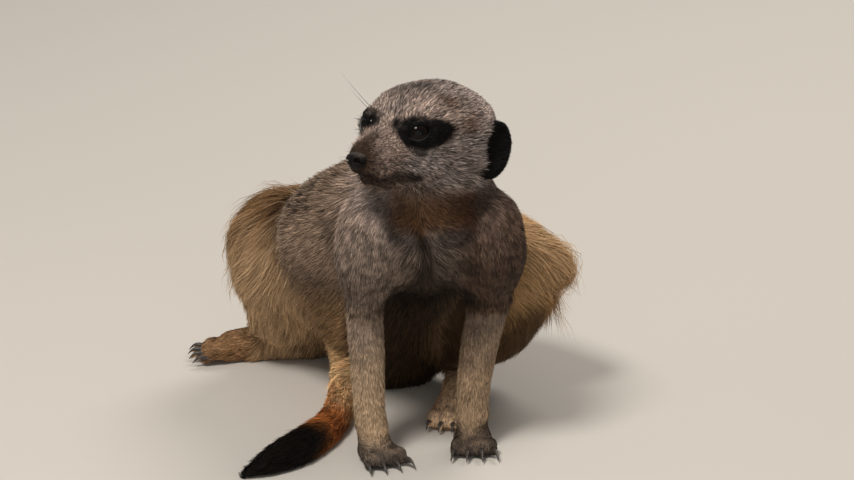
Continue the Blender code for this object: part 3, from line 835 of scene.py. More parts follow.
class Growth:
    """How the coat grows at each point of the skin: its lie, length, height, width, density and colour."""

    def __init__(self, skin):
        self.skin = skin
        self.lie = self.combed()
        self.measure()
        self.colour, self.fleck = markings(skin)
        self.walk()

    def combed(self):
        """Which way the coat lies at each point, along the skin."""
        skin = self.skin
        lie = np.zeros_like(skin.points)
        backwards = unit(skin.head - np.array(LIE_FROM)) @ HEAD_AXES
        x, y, z = skin.chest.T
        outwards = np.clip((x - np.interp(z, PARTING_Z, PARTING_X)) / 0.4, -1.0, 1.0)
        chest = unit(np.column_stack((outwards, np.ones(len(x)), np.ones(len(x)))) * CHEST_LIE)
        trunk = mixed(chest, BACK_LIE, step(2.0, 5.0, y))
        neck = mixed(chest, LIE["neck"], step(0.5, 2.5, y))
        ways = {**LIE, "head": backwards, "ear": backwards, "trunk": trunk, "neck": neck}
        for number, part in enumerate(FLESH):
            lie += skin.soft_share[:, number, None] * unit(np.array(row_of(ways, part)))
        for sign, name in SIDES:
            centre, radius, _ = eye_frame(sign, name)
            away = skin.points - centre
            near = step(radius * 1.9, radius * 1.05, np.linalg.norm(away, axis=1))
            lie = mixed(lie, unit(away), near * 0.9)
        body = skin.on("trunk", "thigh", "upper_arm", "neck")
        for _ in range(3):
            lie = lie - skin.normals * dot(lie, skin.normals)[:, None]
            lie = skin.web.spread(unit(lie), 4)
            lie = skin.web.spread(lie, 24, 0.5 * body)
        return unit(lie - skin.normals * dot(lie, skin.normals)[:, None])

    def vary(self, share, length=0.0, height=0.0, width=0.0, dense=0.0):
        """Adds these parts of the tufts' own measures to them, by a share at each point."""
        self.length *= 1 + length * share
        self.height *= 1 + height * share
        self.width *= 1 + width * share
        self.dense *= 1 + dense * share

    def measure(self):
        """Length, height, width and density of the tufts at each point, and how their tones differ."""
        skin = self.skin
        values = np.array([COAT[kind(part)] for part in FLESH], float)
        self.length, self.height, self.width, self.dense = (skin.share @ values).T.copy()
        on = skin.on("head")
        _, y, z = skin.head.T
        _, chest_y, chest_z = skin.chest.T
        chest = skin.on("trunk", "neck", "upper_arm") * step(3.5, 1.5, chest_y)
        self.vary(chest, length=-0.3, height=-0.2, width=-0.15, dense=0.35)
        hip = skin.on("thigh_l") * round_spot(skin.chest, HIP_WISPS, HIP_WISPS_RADII)
        self.vary(hip, length=0.6, height=0.7)
        fuzz = on * far_cheek(skin) * step(0.6, 0.2, z)
        self.vary(fuzz, length=0.8, height=1.8)
        for _, name in SIDES:
            ear = middle("ear_" + name)
            near = on * step(22 * MM, 12 * MM, np.linalg.norm(skin.points - ear, axis=1))
            before = step(0.0, -0.5, y - to_head(ear)[1])
            self.vary(near, length=0.9 * before - 0.55, height=0.9 * before - 0.6)
        flank = round_spot(skin.chest, FLANK_WISPS, FLANK_WISPS_RADII)
        self.wispy = np.clip(2.2 * hip + skin.on("thigh_r", "trunk") * flank, 0, 2.2) + 1.5 * fuzz
        muzzle = on * step(-1.9, -3.2, y)
        self.vary(muzzle, length=-0.6, height=-0.65, width=-0.2, dense=0.5)
        jowl = on * step(0.2, -0.8, z) * step(-1.6, -0.2, y)
        self.vary(jowl, length=0.6, height=0.3, dense=-0.2)
        self.vary(on * (1 - muzzle), height=0.2)
        self.clear()
        self.length, self.height, self.width = self.length * MM, self.height * MM, self.width * MM
        blended = np.clip(skin.wide_body + skin.on("neck"), 0, 1)
        self.contrast = 0.6 + 0.7 * on + 0.3 * blended - 0.2 * skin.on("forearm", "thigh")
        lower = skin.on("forearm") * step(2.0, 5.5, chest_z)
        ripple = skin.on("upper_arm") + 0.55 * lower + 0.7 * chest * step(11.8, 10.8, chest_z)
        self.ripple = np.clip(ripple, 0, 1)

    def clear(self):
        """A shorter coat at the lids, and none on the eyes, the nose pad and what stands on the floor."""
        skin = self.skin
        for sign, name in SIDES:
            centre, radius, axes = eye_frame(sign, name)
            offset = skin.points - centre
            distance = np.linalg.norm(offset, axis=1)
            q = lid_share(*(unit(offset) @ axes.T).T)
            self.vary(step(radius * 2.1, radius * 1.3, distance), length=-0.6, height=-0.75)
            self.dense *= (distance >= radius * 1.4) | (q >= 1.12)
        self.dense *= np.linalg.norm((skin.head - NOSE_AT) / NOSE_BARE, axis=1) > 1.0
        self.dense *= (skin.points[:, 2] >= 1.5 * MM) | (skin.normals[:, 2] >= -0.5)

    def walk(self):
        """Where a tuft from each point goes: its places at each third of its length."""
        skin = self.skin
        place, way = skin.points, self.lie
        self.guides = []
        for share in (1 / 3, 2 / 3, 1.0):
            place = place + way * (self.length / 3)[:, None]
            found = [skin.tree.find_nearest(p) for p in place.tolist()]
            place = np.array([f[0] for f in found])
            near = skin.triangles[[f[2] for f in found], 0]
            way = unit(way * 0.5 + self.lie[near] * 0.5)
            rise = self.height * share**0.75
            self.guides.append(place + skin.normals[near] * rise[:, None] - skin.points)


# The coat's map: every tuft takes its colour from a small patch of its own on an unwrap of the skin.
PATCH = 0.003
MAP_MARGIN = 2.5 * MM
# For a view along each axis, the two axes that lie across it.
PLANES = np.array(((1, 2), (0, 2), (0, 1)))


def charts(skin):
    """The view of its part that each face lies in, the corners' points and the faces' first corners."""
    mesh = skin.mesh
    normals = read(mesh.polygons, "normal", 3, float)
    first = read(mesh.polygons, "loop_start")
    corners = read(mesh.loops, "vertex_index")
    axis = np.abs(normals).argmax(axis=1)
    facing = axis * 2 + (normals[np.arange(len(normals)), axis] > 0)
    return skin.part[corners[first]] * 6 + facing, corners, first


def boxes(sizes):
    """Places boxes of these sizes in rows in a square. Returns their corners and the square's side."""
    order = sorted(sizes, key=lambda k: -sizes[k][1])
    side = math.sqrt(sum(w * h for w, h in sizes.values()) * 1.25)
    spots, x, y, row = {}, 0.0, 0.0, 0.0
    for key in order:
        width, height = sizes[key]
        if x + width > side:
            x, y, row = 0.0, y + row, 0.0
        spots[key] = (x, y)
        x, row = x + width, max(row, height)
    return spots, max(side, y + row)


def put_map(mesh, places):
    layer = mesh.uv_layers.new(name="OFBake")
    layer.data.foreach_set("uv", places.astype(np.float32).ravel())


def unwrapped(skin):
    """Maps the skin, each view of a part in a box. Returns what maps any point, and each triangle's view."""
    chart, corners, first = charts(skin)
    poly = np.repeat(np.arange(len(first)), np.diff(np.append(first, len(corners))))
    flat_points = skin.points[corners]
    count = len(FLESH) * 6
    plane_of = PLANES[np.arange(count) % 6 // 2]
    low, size = {}, {}
    for key in np.unique(chart):
        inside = flat_points[chart[poly] == key][:, plane_of[key]]
        low[key] = inside.min(axis=0) - MAP_MARGIN
        size[key] = tuple(inside.max(axis=0) - low[key] + MAP_MARGIN)
    spots, side = boxes(size)
    shift = np.zeros((count, 2))
    for key in low:
        shift[key] = np.array(spots[key]) - low[key]

    def place(keys, positions):
        return (np.take_along_axis(positions, plane_of[keys], axis=1) + shift[keys]) / side

    put_map(skin.mesh, place(chart[poly], flat_points))
    return place, chart[read(skin.mesh.loop_triangles, "polygon_index")]


# Tufts: rows of two points with a single one at the tip, and how each one's length and height may differ.
VARY = {"reach": (0.6, 1.1), "stand": (0.3, 1.15)}
LONG = {"stops": (0, 1, 2, 3), "widths": (0.75, 1.0, 0.62), **VARY}
SHORT = {"stops": (0, 2, 3), "widths": (0.9, 0.72), **VARY}
# Wisps: long thin tufts that stand off the rest of the coat.
WISP = {"stops": (0, 1, 2, 3), "widths": (0.7, 0.8, 0.5), "reach": (0.7, 1.25), "stand": (1.4, 2.9)}
WISP_SHARE = 0.07
LARGEST_PIECE = 190000
LOCK_SEED = 11
# The least height of a tuft's points over the floor.
FLOOR_GAP = 0.15 * MM
# The coat's pieces: name, slot, parts, form of tuft, and how many tufts gather in a lock and how closely.
COAT_PIECES = (
    ("coat_head", "coat", ("head",), SHORT, (5, 0.35)),
    ("coat_ears", "ear", ("ear",), SHORT, None),
    ("coat_neck", "coat", ("neck",), SHORT, (6, 0.3)),
    ("coat_body", "coat", ("trunk",), SHORT, (7, 0.4)),
    ("coat_shoulders", "coat", ("upper_arm",), SHORT, (6, 0.3)),
    ("coat_hips", "coat", ("thigh", "shank"), LONG, (8, 0.45)),
    ("coat_forelegs", "coat", ("forearm", "forepaw"), SHORT, (5, 0.35)),
    ("coat_hind_feet", "coat", ("hind_foot",), SHORT, (5, 0.35)),
    ("coat_tail", "coat", ("tail_root", "tail_tip"), LONG, (6, 0.45)),
    ("coat_wisps", "coat", ("thigh", "trunk", "head"), WISP, (3, 0.4)),
)


def roots(growth, wanted):
    """Random places on the skin: the triangle of each, and its shares of the triangle's corners."""
    skin = growth.skin
    tri = skin.triangles
    a, b, c = (skin.points[tri[:, i]] for i in range(3))
    area = np.linalg.norm(np.cross(b - a, c - a), axis=1) / 2 / CM**2
    dense = growth.dense[tri].mean(axis=1) * wanted[tri].mean(axis=1)
    expected = area * dense * TUFT_SHARE
    number = np.floor(expected + random.random(len(tri))).astype(int)
    which = np.repeat(np.arange(len(tri)), number)
    u, v = random.random(len(which)), random.random(len(which))
    flip = u + v > 1
    u, v = np.where(flip, 1 - u, u), np.where(flip, 1 - v, v)
    return which, np.stack((1 - u - v, u, v), axis=1)


def turned(vectors, axes, angles):
    """Each vector turned about its own axis."""
    c, s = np.cos(angles)[:, None], np.sin(angles)[:, None]
    return vectors * c + np.cross(axes, vectors) * s + axes * (dot(axes, vectors)[:, None]) * (1 - c)


def clumped(roots_at, every):
    """For each tuft, the number of the nearby tuft that its lock gathers round."""
    draw = np.random.default_rng(LOCK_SEED)
    leaders = np.flatnonzero(draw.random(len(roots_at)) < 1 / every)
    tree = KDTree(len(leaders))
    for i, p in zip(leaders.tolist(), roots_at[leaders].tolist()):
        tree.insert(p, i)
    tree.balance()
    return np.array([tree.find(p)[1] for p in roots_at.tolist()])


def rippled(points, amount):
    """How much darker a coat with short dark ripples across it is at each point."""
    wave = (noise(points, 4 * MM, 33) - 0.5)[:, None] * (0, 0, 2.0 * MM)
    broad = noise((points + wave) * (0.24, 0.24, 1.0), 1.9 * MM, 31)
    fine = noise((points + wave) * (0.3, 0.3, 1.0), 1.0 * MM, 32)
    dark = np.maximum(step(0.09, 0.02, np.abs(broad - 0.5)), 0.8 * step(0.42, 0.26, fine))
    return 1.0 + amount * (0.3 - 0.78 * dark)


def stems_from(growth, at, normal, form):
    """The tufts' middle lines, each longer or shorter, higher or lower, and turned a little."""
    count = len(normal)
    longer = random.uniform(*form["reach"], count)
    higher = random.uniform(*form["stand"], count) ** 0.8
    turn = random.normal(0, 0.16, count)
    stems = [np.zeros((count, 3))]
    for guide in growth.guides:
        stem = turned(at(guide) * longer[:, None], normal, turn)
        stems.append(stem - normal * (dot(stem, normal) * (1 - higher))[:, None])
    return stems


def gathered(stems, root, clump):
    """Draws the stems together in locks. Returns how much darker or lighter each tuft's lock is."""
    if not clump:
        return 0.0
    every, pull = clump
    leader = clumped(root, every)
    for stem, strength in zip(stems[1:], (0.2, 0.6, 1.0)):
        stem += (root[leader] + stem[leader] - root - stem) * (strength * pull)
    return random.uniform(-0.3, 0.25, len(root))[leader]


def toned(growth, at, gloom):
    """How light each tuft is, and which are the dark ones that fleck the coat."""
    fleck, contrast = at(growth.fleck), at(growth.contrast)
    chance = random.random(len(fleck))
    dark = chance < fleck[:, 0]
    light = chance > 1 - fleck[:, 1]
    shade = random.uniform(-0.2, 0.15, len(fleck)) + gloom
    fleck_tone = np.where(dark, -0.65, np.where(light, 0.8, 0.0))
    return np.maximum(1 + contrast * fleck_tone, 0.15) * (1 + contrast * shade), dark


def ribbons(root, stems, normal, width, form):
    """Each tuft's points, in twos to the one at the tip, and how far up the tuft each lies."""
    roll = random.normal(0, 0.5, len(root))
    rows, ups = [], []
    for k, after, wide in zip(form["stops"], form["stops"][1:], form["widths"]):
        tangent = unit(stems[after] - stems[k])
        sideways = unit(np.cross(tangent, normal))
        sideways = turned(sideways, tangent, roll) * (width * wide / 2)[:, None]
        rows += [root + stems[k] - sideways, root + stems[k] + sideways]
        ups += [k / 3, k / 3]
    points = np.stack(rows + [root + stems[-1]], axis=1)
    points[:, :, 2] = np.maximum(points[:, :, 2], FLOOR_GAP)
    return points, np.array(ups + [1.0])


def tuft_faces(count, each):
    """The triangles of so many tufts, with this many points in each."""
    faces = [(each - 3, each - 2, each - 1)]
    for row in range(each - 5, -1, -2):
        faces = [(row, row + 1, row + 3), (row, row + 3, row + 2)] + faces
    return (np.arange(count)[:, None, None] * each + np.array(faces)).reshape(-1, 3)


def tuft_arrays(growth, which, share, form, clump, place, chart):
    """Points, faces, colours and map of one tuft from each root."""
    skin = growth.skin
    corners = skin.triangles[which]

    def at(values):
        return np.einsum("ij,ij...->i...", share, values[corners])

    root, normal = at(skin.points), unit(at(skin.normals))
    stems = stems_from(growth, at, normal, form)
    gloom = gathered(stems, root, clump)
    width = at(growth.width) * random.uniform(0.7, 1.25, len(root))
    tone, dark = toned(growth, at, gloom)
    points, ups = ribbons(root, stems, normal, width, form)
    count, each = points.shape[:2]
    tips = np.where(dark[:, None], 1.0 - 0.4 * ups, 0.62 + 0.5 * ups)
    tone = tone * rippled(root + 0.15 * stems[2] + 0.85 * stems[3], at(growth.ripple))
    colours = at(growth.colour)[:, None] * (tone[:, None] * tips)[:, :, None]
    across = np.append(np.tile((-0.5, 0.5), each // 2), 0.0)
    places = place(chart[which], root)[:, None] + np.column_stack((across, ups - 0.5)) * PATCH
    return points.reshape(-1, 3), tuft_faces(count, each), colours.reshape(-1, 3), places.reshape(-1, 2)


def paint(mesh, colours):
    """Stores a colour for each point of a mesh, which its material reads."""
    layer = mesh.color_attributes.new(name="mark", type="FLOAT_COLOR", domain="POINT")
    layer.data.foreach_set("color", np.insert(colours, 3, 1.0, axis=1).astype(np.float32).ravel())


def piece_of(name, slot, mesh, material):
    """A piece that rides on the root."""
    mesh.materials.clear()
    mesh.materials.append(material)
    piece = new_object(name, mesh)
    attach(piece, "root")
    return piece


def part_piece(name, slot, points, faces, colours, material):
    """The same, from arrays, with a colour at each point."""
    mesh = mesh_from(name, points, faces)
    paint(mesh, np.broadcast_to(colours, points.shape))
    return piece_of(name, slot, mesh, material)


def dress(growth, material):
    """The coat, in pieces by part, each small enough for the export."""
    skin = growth.skin
    place, chart = unwrapped(skin)
    for name, slot, parts, form, clump in COAT_PIECES:
        wanted = np.isin(skin.part, numbered(*parts)).astype(float)
        if form is WISP:
            wanted *= WISP_SHARE * growth.wispy
        which, share = roots(growth, wanted)
        per_tuft = 2 * (len(form["stops"]) - 2) + 1
        pieces = math.ceil(len(which) / (LARGEST_PIECE // per_tuft))
        shuffled = random.permutation(len(which))
        for number in range(pieces):
            held = shuffled[number::pieces]
            arrays = tuft_arrays(growth, which[held], share[held], form, clump, place, chart)
            points, faces, colours, places = arrays
            label = name if pieces == 1 else f"{name}_{number + 1}"
            piece = part_piece(label, slot, points, faces, colours, material)
            put_map(piece.data, places[faces.ravel()])


# Materials.

SOCKETS = {
    "rough": "Roughness", "specular": "Specular IOR Level", "sheen": "Sheen Weight",
    "sheen_rough": "Sheen Roughness",
}


def nodes_for(name):
    """A new material's tree and its Principled shader."""
    material = bpy.data.materials.new(name)
    material.use_nodes = True
    tree = material.node_tree
    return material, tree, tree.nodes["Principled BSDF"]


def add_node(tree, kind_name, inputs=(), **settings):
    made = tree.nodes.new(kind_name)
    for key, value in settings.items():
        setattr(made, key, value)
    for key, value in dict(inputs).items():
        if isinstance(value, bpy.types.NodeSocket):
            tree.links.new(value, made.inputs[key])
        else:
            made.inputs[key].default_value = value
    return made


def mark_colour(tree):
    return add_node(tree, "ShaderNodeAttribute", attribute_name="mark").outputs["Color"]


def object_noise(tree, scale, detail=3.0, vector=None):
    """Noise over the object's own space, from 0 to 1."""
    if vector is None:
        vector = add_node(tree, "ShaderNodeTexCoord").outputs["Object"]
    made = add_node(tree, "ShaderNodeTexNoise", {"Vector": vector, "Scale": scale, "Detail": detail})
    return made.outputs["Fac"]


def ranged(tree, value, low, high):
    """A value from 0 to 1 stretched to lie between low and high."""
    made = add_node(tree, "ShaderNodeMapRange", {"Value": value, "To Min": low, "To Max": high})
    return made.outputs["Result"]


def times(tree, colour, value):
    """A colour made lighter or darker by a value."""
    grey = add_node(tree, "ShaderNodeCombineColor", {"Red": value, "Green": value, "Blue": value})
    made = add_node(tree, "ShaderNodeMix", {"Factor": 1.0}, data_type="RGBA", blend_type="MULTIPLY")
    tree.links.new(colour, made.inputs["A"])
    tree.links.new(grey.outputs["Color"], made.inputs["B"])
    return made.outputs["Result"]


def bumped(tree, shader, height, distance, strength=1.0):
    made = add_node(tree, "ShaderNodeBump", {"Height": height, "Distance": distance, "Strength": strength})
    tree.links.new(made.outputs["Normal"], shader.inputs["Normal"])


def tinted(tree, shader, tone, **constants):
    """Gives a shader the colours stored on the mesh, varied by a tone, and constants on its sockets."""
    tree.links.new(times(tree, mark_colour(tree), tone), shader.inputs["Base Color"])
    for name, value in constants.items():
        shader.inputs[SOCKETS[name]].default_value = value


def coat_material():
    """Hair: the markings, a little lighter and darker from hair to hair."""
    material, tree, shader = nodes_for("coat")
    fine = ranged(tree, object_noise(tree, 900.0, 2.0), 0.72, 1.28)
    tinted(tree, shader, fine, rough=0.62, specular=0.14, sheen=0.03, sheen_rough=0.4)
    return material


def vectors(tree, operation, first, second, output="Vector"):
    """A step of vector arithmetic."""
    key = "Scale" if operation == "SCALE" else 1
    made = add_node(tree, "ShaderNodeVectorMath", {0: first, key: second}, operation=operation)
    return made.outputs[output]


def skin_material():
    """Under-fur and bare skin: the markings darker, with fine streaks that run along the coat."""
    material, tree, shader = nodes_for("skin")
    place = add_node(tree, "ShaderNodeTexCoord").outputs["Object"]
    lie = add_node(tree, "ShaderNodeAttribute", attribute_name="lie").outputs["Vector"]
    along = vectors(tree, "SCALE", lie, vectors(tree, "DOT_PRODUCT", place, lie, "Value"))
    squeezed = vectors(tree, "SUBTRACT", place, vectors(tree, "SCALE", along, 0.88))
    streak = object_noise(tree, 2200.0, 3.0, squeezed)
    tinted(tree, shader, ranged(tree, streak, 0.35, 1.0), rough=0.7, specular=0.12)
    bumped(tree, shader, streak, 0.4 * MM, 0.6)
    return material


def eye_material():
    """A wet dark eye: the iris has fine spokes, and the surface is smooth and glossy."""
    material, tree, shader = nodes_for("eye")
    tone = ranged(tree, object_noise(tree, 1500.0, 2.0), 0.7, 1.3)
    tinted(tree, shader, tone, rough=0.06, specular=0.14)
    bumped(tree, shader, object_noise(tree, 120.0, 1.0), 0.05 * MM, 0.15)
    return material


def nose_material():
    """Black moist leather with a fine cobble."""
    material, tree, shader = nodes_for("nose")
    place = add_node(tree, "ShaderNodeTexCoord").outputs["Object"]
    cobble = add_node(tree, "ShaderNodeTexVoronoi", {"Vector": place, "Scale": 2600.0}).outputs["Distance"]
    tinted(tree, shader, ranged(tree, cobble, 0.7, 1.2), specular=0.1)
    tree.links.new(ranged(tree, object_noise(tree, 300.0), 0.4, 0.6), shader.inputs["Roughness"])
    bumped(tree, shader, cobble, 0.12 * MM, 0.7)
    return material


def claw_material():
    """Dark horn, paler and browner in streaks along the claw."""
    material, tree, shader = nodes_for("claw")
    tinted(tree, shader, ranged(tree, object_noise(tree, 700.0), 0.6, 1.4))
    tree.links.new(ranged(tree, object_noise(tree, 500.0), 0.25, 0.5), shader.inputs["Roughness"])
    bumped(tree, shader, object_noise(tree, 1800.0), 0.05 * MM, 0.5)
    return material


def floor_material():
    material, tree, shader = nodes_for("floor")
    tone = ranged(tree, object_noise(tree, 3.0), 0.97, 1.0)
    base = add_node(tree, "ShaderNodeRGB")
    base.outputs[0].default_value = FLOOR_COLOUR
    tree.links.new(times(tree, base.outputs[0], tone), shader.inputs["Base Color"])
    shader.inputs["Roughness"].default_value = 0.8
    return material


# The separate pieces: eyes, the wet edge of the lids, nose, claws and whiskers.

def closed(rings, first, last):
    """A closed form's points and triangles: one end, rings clockwise about the way on, and the other end."""
    points = np.concatenate([[first], *rings, [last]])
    i = np.arange(len(rings[0]))
    j = (i + 1) % len(i)
    end = len(points) - 1
    last_ring = end - len(i)
    faces = [(0 * i, 1 + i, 1 + j), (last_ring + i, end + 0 * i, last_ring + j)]
    for a in range(1, last_ring, len(i)):
        b = a + len(i)
        faces += [(a + i, b + i, b + j), (a + i, b + j, a + j)]
    return points, np.concatenate([np.stack(corners, axis=1) for corners in faces])


def circle(sides):
    """The cosines and sines of even turns, as columns."""
    turn = np.arange(sides)[:, None] * 2 * math.pi / sides
    return np.cos(turn), np.sin(turn)


def globe(across, down):
    """A unit ball with its poles on the third axis, as points and triangles."""
    ring = np.column_stack((*circle(across), np.zeros(across)))
    leans = np.arange(1, down) * math.pi / down
    rings = [ring * math.sin(a) + (0, 0, math.cos(a)) for a in leans]
    return closed(rings, (0, 0, 1), (0, 0, -1))


def tube(path, radii, sides=8):
    """A closed tube through a path of points, with a radius at each, as points and triangles."""
    path = np.asarray(path, float)
    heading = unit(np.gradient(path, axis=0))
    start = unit(np.cross(heading[0], (0.3, 0.2, 1.0)))
    rings = []
    cosine, sine = circle(sides)
    for centre, ahead, radius in zip(path, heading, radii):
        start = unit(start - ahead * dot(start, ahead))
        rings.append(centre + radius * (cosine * start + sine * np.cross(ahead, start)))
    points, faces = closed(rings, path[0], path[-1])
    return points, faces[:, ::-1]


def together(shapes):
    """Several (points, faces) as one."""
    points, faces, count = [], [], 0
    for p, f in shapes:
        points.append(p)
        faces.append(f + count)
        count += len(p)
    return np.concatenate(points), np.concatenate(faces)


IRIS_BROWN = (0.005, 0.0028, 0.002)
EYE_DARK = (0.003, 0.0022, 0.002)
PUPIL = (0.002, 0.002, 0.002)
LID_GREY = (0.035, 0.031, 0.034)


def eyeball(sign, name, material):
    """An eyeball with a slightly domed cornea, a dark brown iris and a wide pupil."""
    centre, radius, axes = eye_frame(sign, name)
    points, faces = globe(64, 48)
    across, rise, out = points.T
    lean = np.degrees(np.arccos(np.clip(out, -1, 1)))
    swell = 1.0 + 0.02 * step(60.0, 0.0, lean) - 0.015
    turn = np.arctan2(rise, across)
    spokes = 0.75 + 0.5 * noise(np.column_stack((np.cos(turn) * 9, np.sin(turn) * 9, lean * 0.05)), 1.0, 21)
    colours = np.array(IRIS_BROWN) * spokes[:, None]
    colours = mixed(colours, EYE_DARK, step(33.0, 40.0, lean))
    pupil = np.hypot(np.degrees(np.arctan2(across, out)) / 19, np.degrees(np.arctan2(rise, out)) / 13)
    colours = mixed(colours, PUPIL, step(1.1, 0.9, pupil) * (out > 0))
    placed = centre + (points * swell[:, None] * radius) @ axes
    piece = part_piece(f"eyeball_{name}", "eye", placed, faces, colours, material)
    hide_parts("eye_" + name)


def wet_edge(sign, name, material):
    """The moist rim of the lower lid, a thin line against the eyeball."""
    centre, radius, axes = eye_frame(sign, name)
    turns = np.linspace(math.radians(195), math.radians(345), 30)
    across = np.tan(np.radians(LID_WIDTH * 0.97 * np.cos(turns)))
    rise = np.tan(np.radians(LID_HEIGHT * 0.97 * np.sin(turns)))
    ways = unit(np.column_stack((across, rise, np.ones(len(turns)))))
    path = centre + ways @ axes * (radius + 0.18 * MM)
    radii = 0.2 * MM * np.sin(np.linspace(0.15, math.pi - 0.15, len(path)))
    points, faces = tube(path, radii, 8)
    part_piece(f"lid_edge_{name}", "eye", points, faces, LID_GREY, material)


NOSE_RADII = np.array((0.47, 0.42, 0.39))
# The nose pad's black, and a paler brown-grey painted highlight for its top.
NOSE_BLACK, NOSE_TOP_HIGHLIGHT = (0.006, 0.005, 0.0047), (0.045, 0.036, 0.03)


def nose_piece(material):
    """The nose pad: flat on top, with comma-shaped nostrils and a groove down the middle."""
    points, faces = globe(96, 72)
    x, y, z = (points[:, [0, 2, 1]] * (1, -1, 1)).T
    ball = np.column_stack((x, y, z))
    front = step(0.2, -0.5, y)
    side = np.abs(x)
    top = step(0.45, 0.95, z)
    ball[:, 2] -= 0.16 * top
    hole = np.hypot((side - 0.5) / 0.26, (z - 0.08) / 0.3)
    slit = np.hypot((side - 0.78) / 0.3, (z + 0.12 + 0.25 * (side - 0.78)) / 0.12)
    pit = np.maximum(step(1.0, 0.35, hole), 0.75 * step(1.0, 0.3, slit)) * front
    wing = np.exp(-(((hole - 1.25) / 0.3) ** 2)) * front
    groove = np.exp(-((x / 0.07) ** 2)) * front * step(0.3, -0.1, z)
    ball = ball * (1 - 0.42 * pit + 0.05 * wing - 0.09 * groove)[:, None]
    placed = from_head(NOSE_AT + ball * NOSE_RADII)
    colours = np.tile(NOSE_BLACK, (len(points), 1))
    # A painted highlight: the top of the pad paler.
    colours = mixed(colours, NOSE_TOP_HIGHLIGHT, step(0.1, 0.75, z) * step(-0.95, -0.5, y))
    # Painted shade: the nostril pits darker still.
    colours = colours * (1 - 0.9 * pit)[:, None]
    piece = part_piece("nose_pad", "nose", placed, faces, colours, material)
    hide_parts("nose")


# Feet: where each toe's claw starts, from the middle of the foot, as the solids have them.
FOREPAW = {RIGHT: ((-2.32, 0.4, 0.42), 22), LEFT: ((1.88, 1.7, 0.42), 2)}
HIND_FOOT = {RIGHT: ((-7.4, 12.6, 0.85), (-8.95, 12.4, 0.66)), LEFT: ((1.2, 6.8, 0.9), (0.95, 5.0, 0.6))}
TOE = {"fore": (9, 0.75, 0.3), "hind": (5, 1.0, 0.29)}
CLAW = {"fore": (0.82, 0.125), "hind": (0.64, 0.12)}
CLAW_HORN = (0.05, 0.04, 0.034)


def along_foot(place, heading, forward, side=0.0, up=0.0):
    turn = math.radians(heading)
    ahead = np.array((math.sin(turn), -math.cos(turn), 0))
    aside = np.array((math.cos(turn), math.sin(turn), 0))
    return np.array(place) + ahead * forward + aside * side + np.array((0, 0, up))


def claw_roots(place, heading, spread, length, radius):
    """Where the claws of a foot's four toes start, and which way each heads."""
    found = []
    for number in range(4):
        share = number - 1.5
        turn = heading + share * spread
        start = along_foot(place, heading, 0.1, share * radius * 1.55)
        found.append((along_foot(start, turn, length * (1.0 - 0.1 * abs(share)), up=-0.2), turn))
    return found


def claw(tip, turn, length, radius):
    """A curved claw that tapers to a point a little below its arch."""
    path, radii = [], []
    for share in np.linspace(-0.35, 1.0, 10):
        ahead = max(share, 0)
        up = 0.07 + 0.16 * math.sin(math.pi * ahead * 0.8) - 0.26 * ahead**2
        path.append(along_foot(tip, turn, length * share, up=up))
        radii.append(radius * (1.05 - 0.95 * ahead**1.3) * CM)
    points, faces = tube(from_chest(path), radii, 10)
    points[:, 2] = np.maximum(points[:, 2], 0.0)
    return points, faces


def claws(material):
    shapes = []
    for sign in (LEFT, RIGHT):
        place, heading = FOREPAW[sign]
        feet = [("fore", along_foot(place, heading, 0.45), heading)]
        heel, ball = (np.array(p) for p in HIND_FOOT[sign])
        hind_heading = math.degrees(math.atan2(ball[0] - heel[0], heel[1] - ball[1]))
        feet.append(("hind", along_foot(ball, hind_heading, 0.35, up=-0.15), hind_heading))
        for which, start, turn in feet:
            shapes += [claw(tip, way, *CLAW[which]) for tip, way in claw_roots(start, turn, *TOE[which])]
    part_piece("claws", "claw", *together(shapes), CLAW_HORN, material)


WHISKER_BLACK = (0.012, 0.009, 0.008)
WHISKER_RADIUS = 0.13 * MM
# Whiskers and long brow hairs in the head's frame: root, direction, length (cm), how much each droops.
WHISKERS = (
    ((0.62, -3.75, -0.75), (0.8, 0.45, 0.1), 1.8, 0.25),
    ((0.66, -3.6, -0.95), (0.8, 0.55, -0.15), 2.0, 0.3),
    ((0.7, -3.35, -0.7), (0.75, 0.6, 0.12), 2.3, 0.25),
    ((0.72, -3.2, -0.95), (0.75, 0.65, -0.15), 2.4, 0.3),
    ((0.74, -2.95, -0.8), (0.75, 0.7, 0.0), 2.2, 0.3),
    ((0.62, -3.85, -1.0), (0.7, 0.5, -0.4), 1.4, 0.3),
    ((0.95, -2.15, 0.95), (0.45, -0.45, 0.8), 2.0, -0.1),
    ((0.8, -2.4, 0.9), (0.35, -0.6, 0.75), 1.6, -0.1),
    ((1.6, -1.3, -0.95), (0.95, 0.1, -0.35), 1.8, 0.3),
    ((1.2, -2.45, 0.62), (0.35, -0.9, 0.2), 0.5, 0.0),
    ((1.3, -2.35, 0.6), (0.45, -0.85, 0.1), 0.45, 0.0),
    ((1.1, -2.5, 0.6), (0.25, -0.95, 0.3), 0.45, 0.0),
)


def whiskers(skin, material):
    shapes = []
    for sign, _ in SIDES:
        for root, way, length, droop in WHISKERS:
            wobble = random.normal(0, 0.06, 3)
            ahead = unit((np.array(way) + wobble) * (sign, 1, 1)) @ HEAD_AXES
            start = skin.tree.find_nearest(from_head(np.array(root) * (sign, 1, 1)).tolist())[0]
            reach = length * HEAD_SCALE
            shares = np.linspace(-0.03, 1.0, 12)
            fall = np.array((0, 0, -1.0)) * droop
            path = [np.array(start) + reach * (ahead * s + fall * s * s) for s in shares]
            shapes.append(tube(path, WHISKER_RADIUS * (1.06 - shares), 5))
    part_piece("whiskers", "coat", *together(shapes), WHISKER_BLACK, material)


def skin_piece(skin, growth, material):
    """The skin with its colours, darker than the coat's, and the lie of the coat for its streaks."""
    paint(skin.mesh, growth.colour * 0.75)
    layer = skin.mesh.attributes.new("lie", "FLOAT_VECTOR", "POINT")
    layer.data.foreach_set("vector", growth.lie.astype(np.float32).ravel())
    smooth(skin.mesh)
    piece = piece_of("skin", "coat", skin.mesh, material)
    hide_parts(*FLESH)


# The setting.

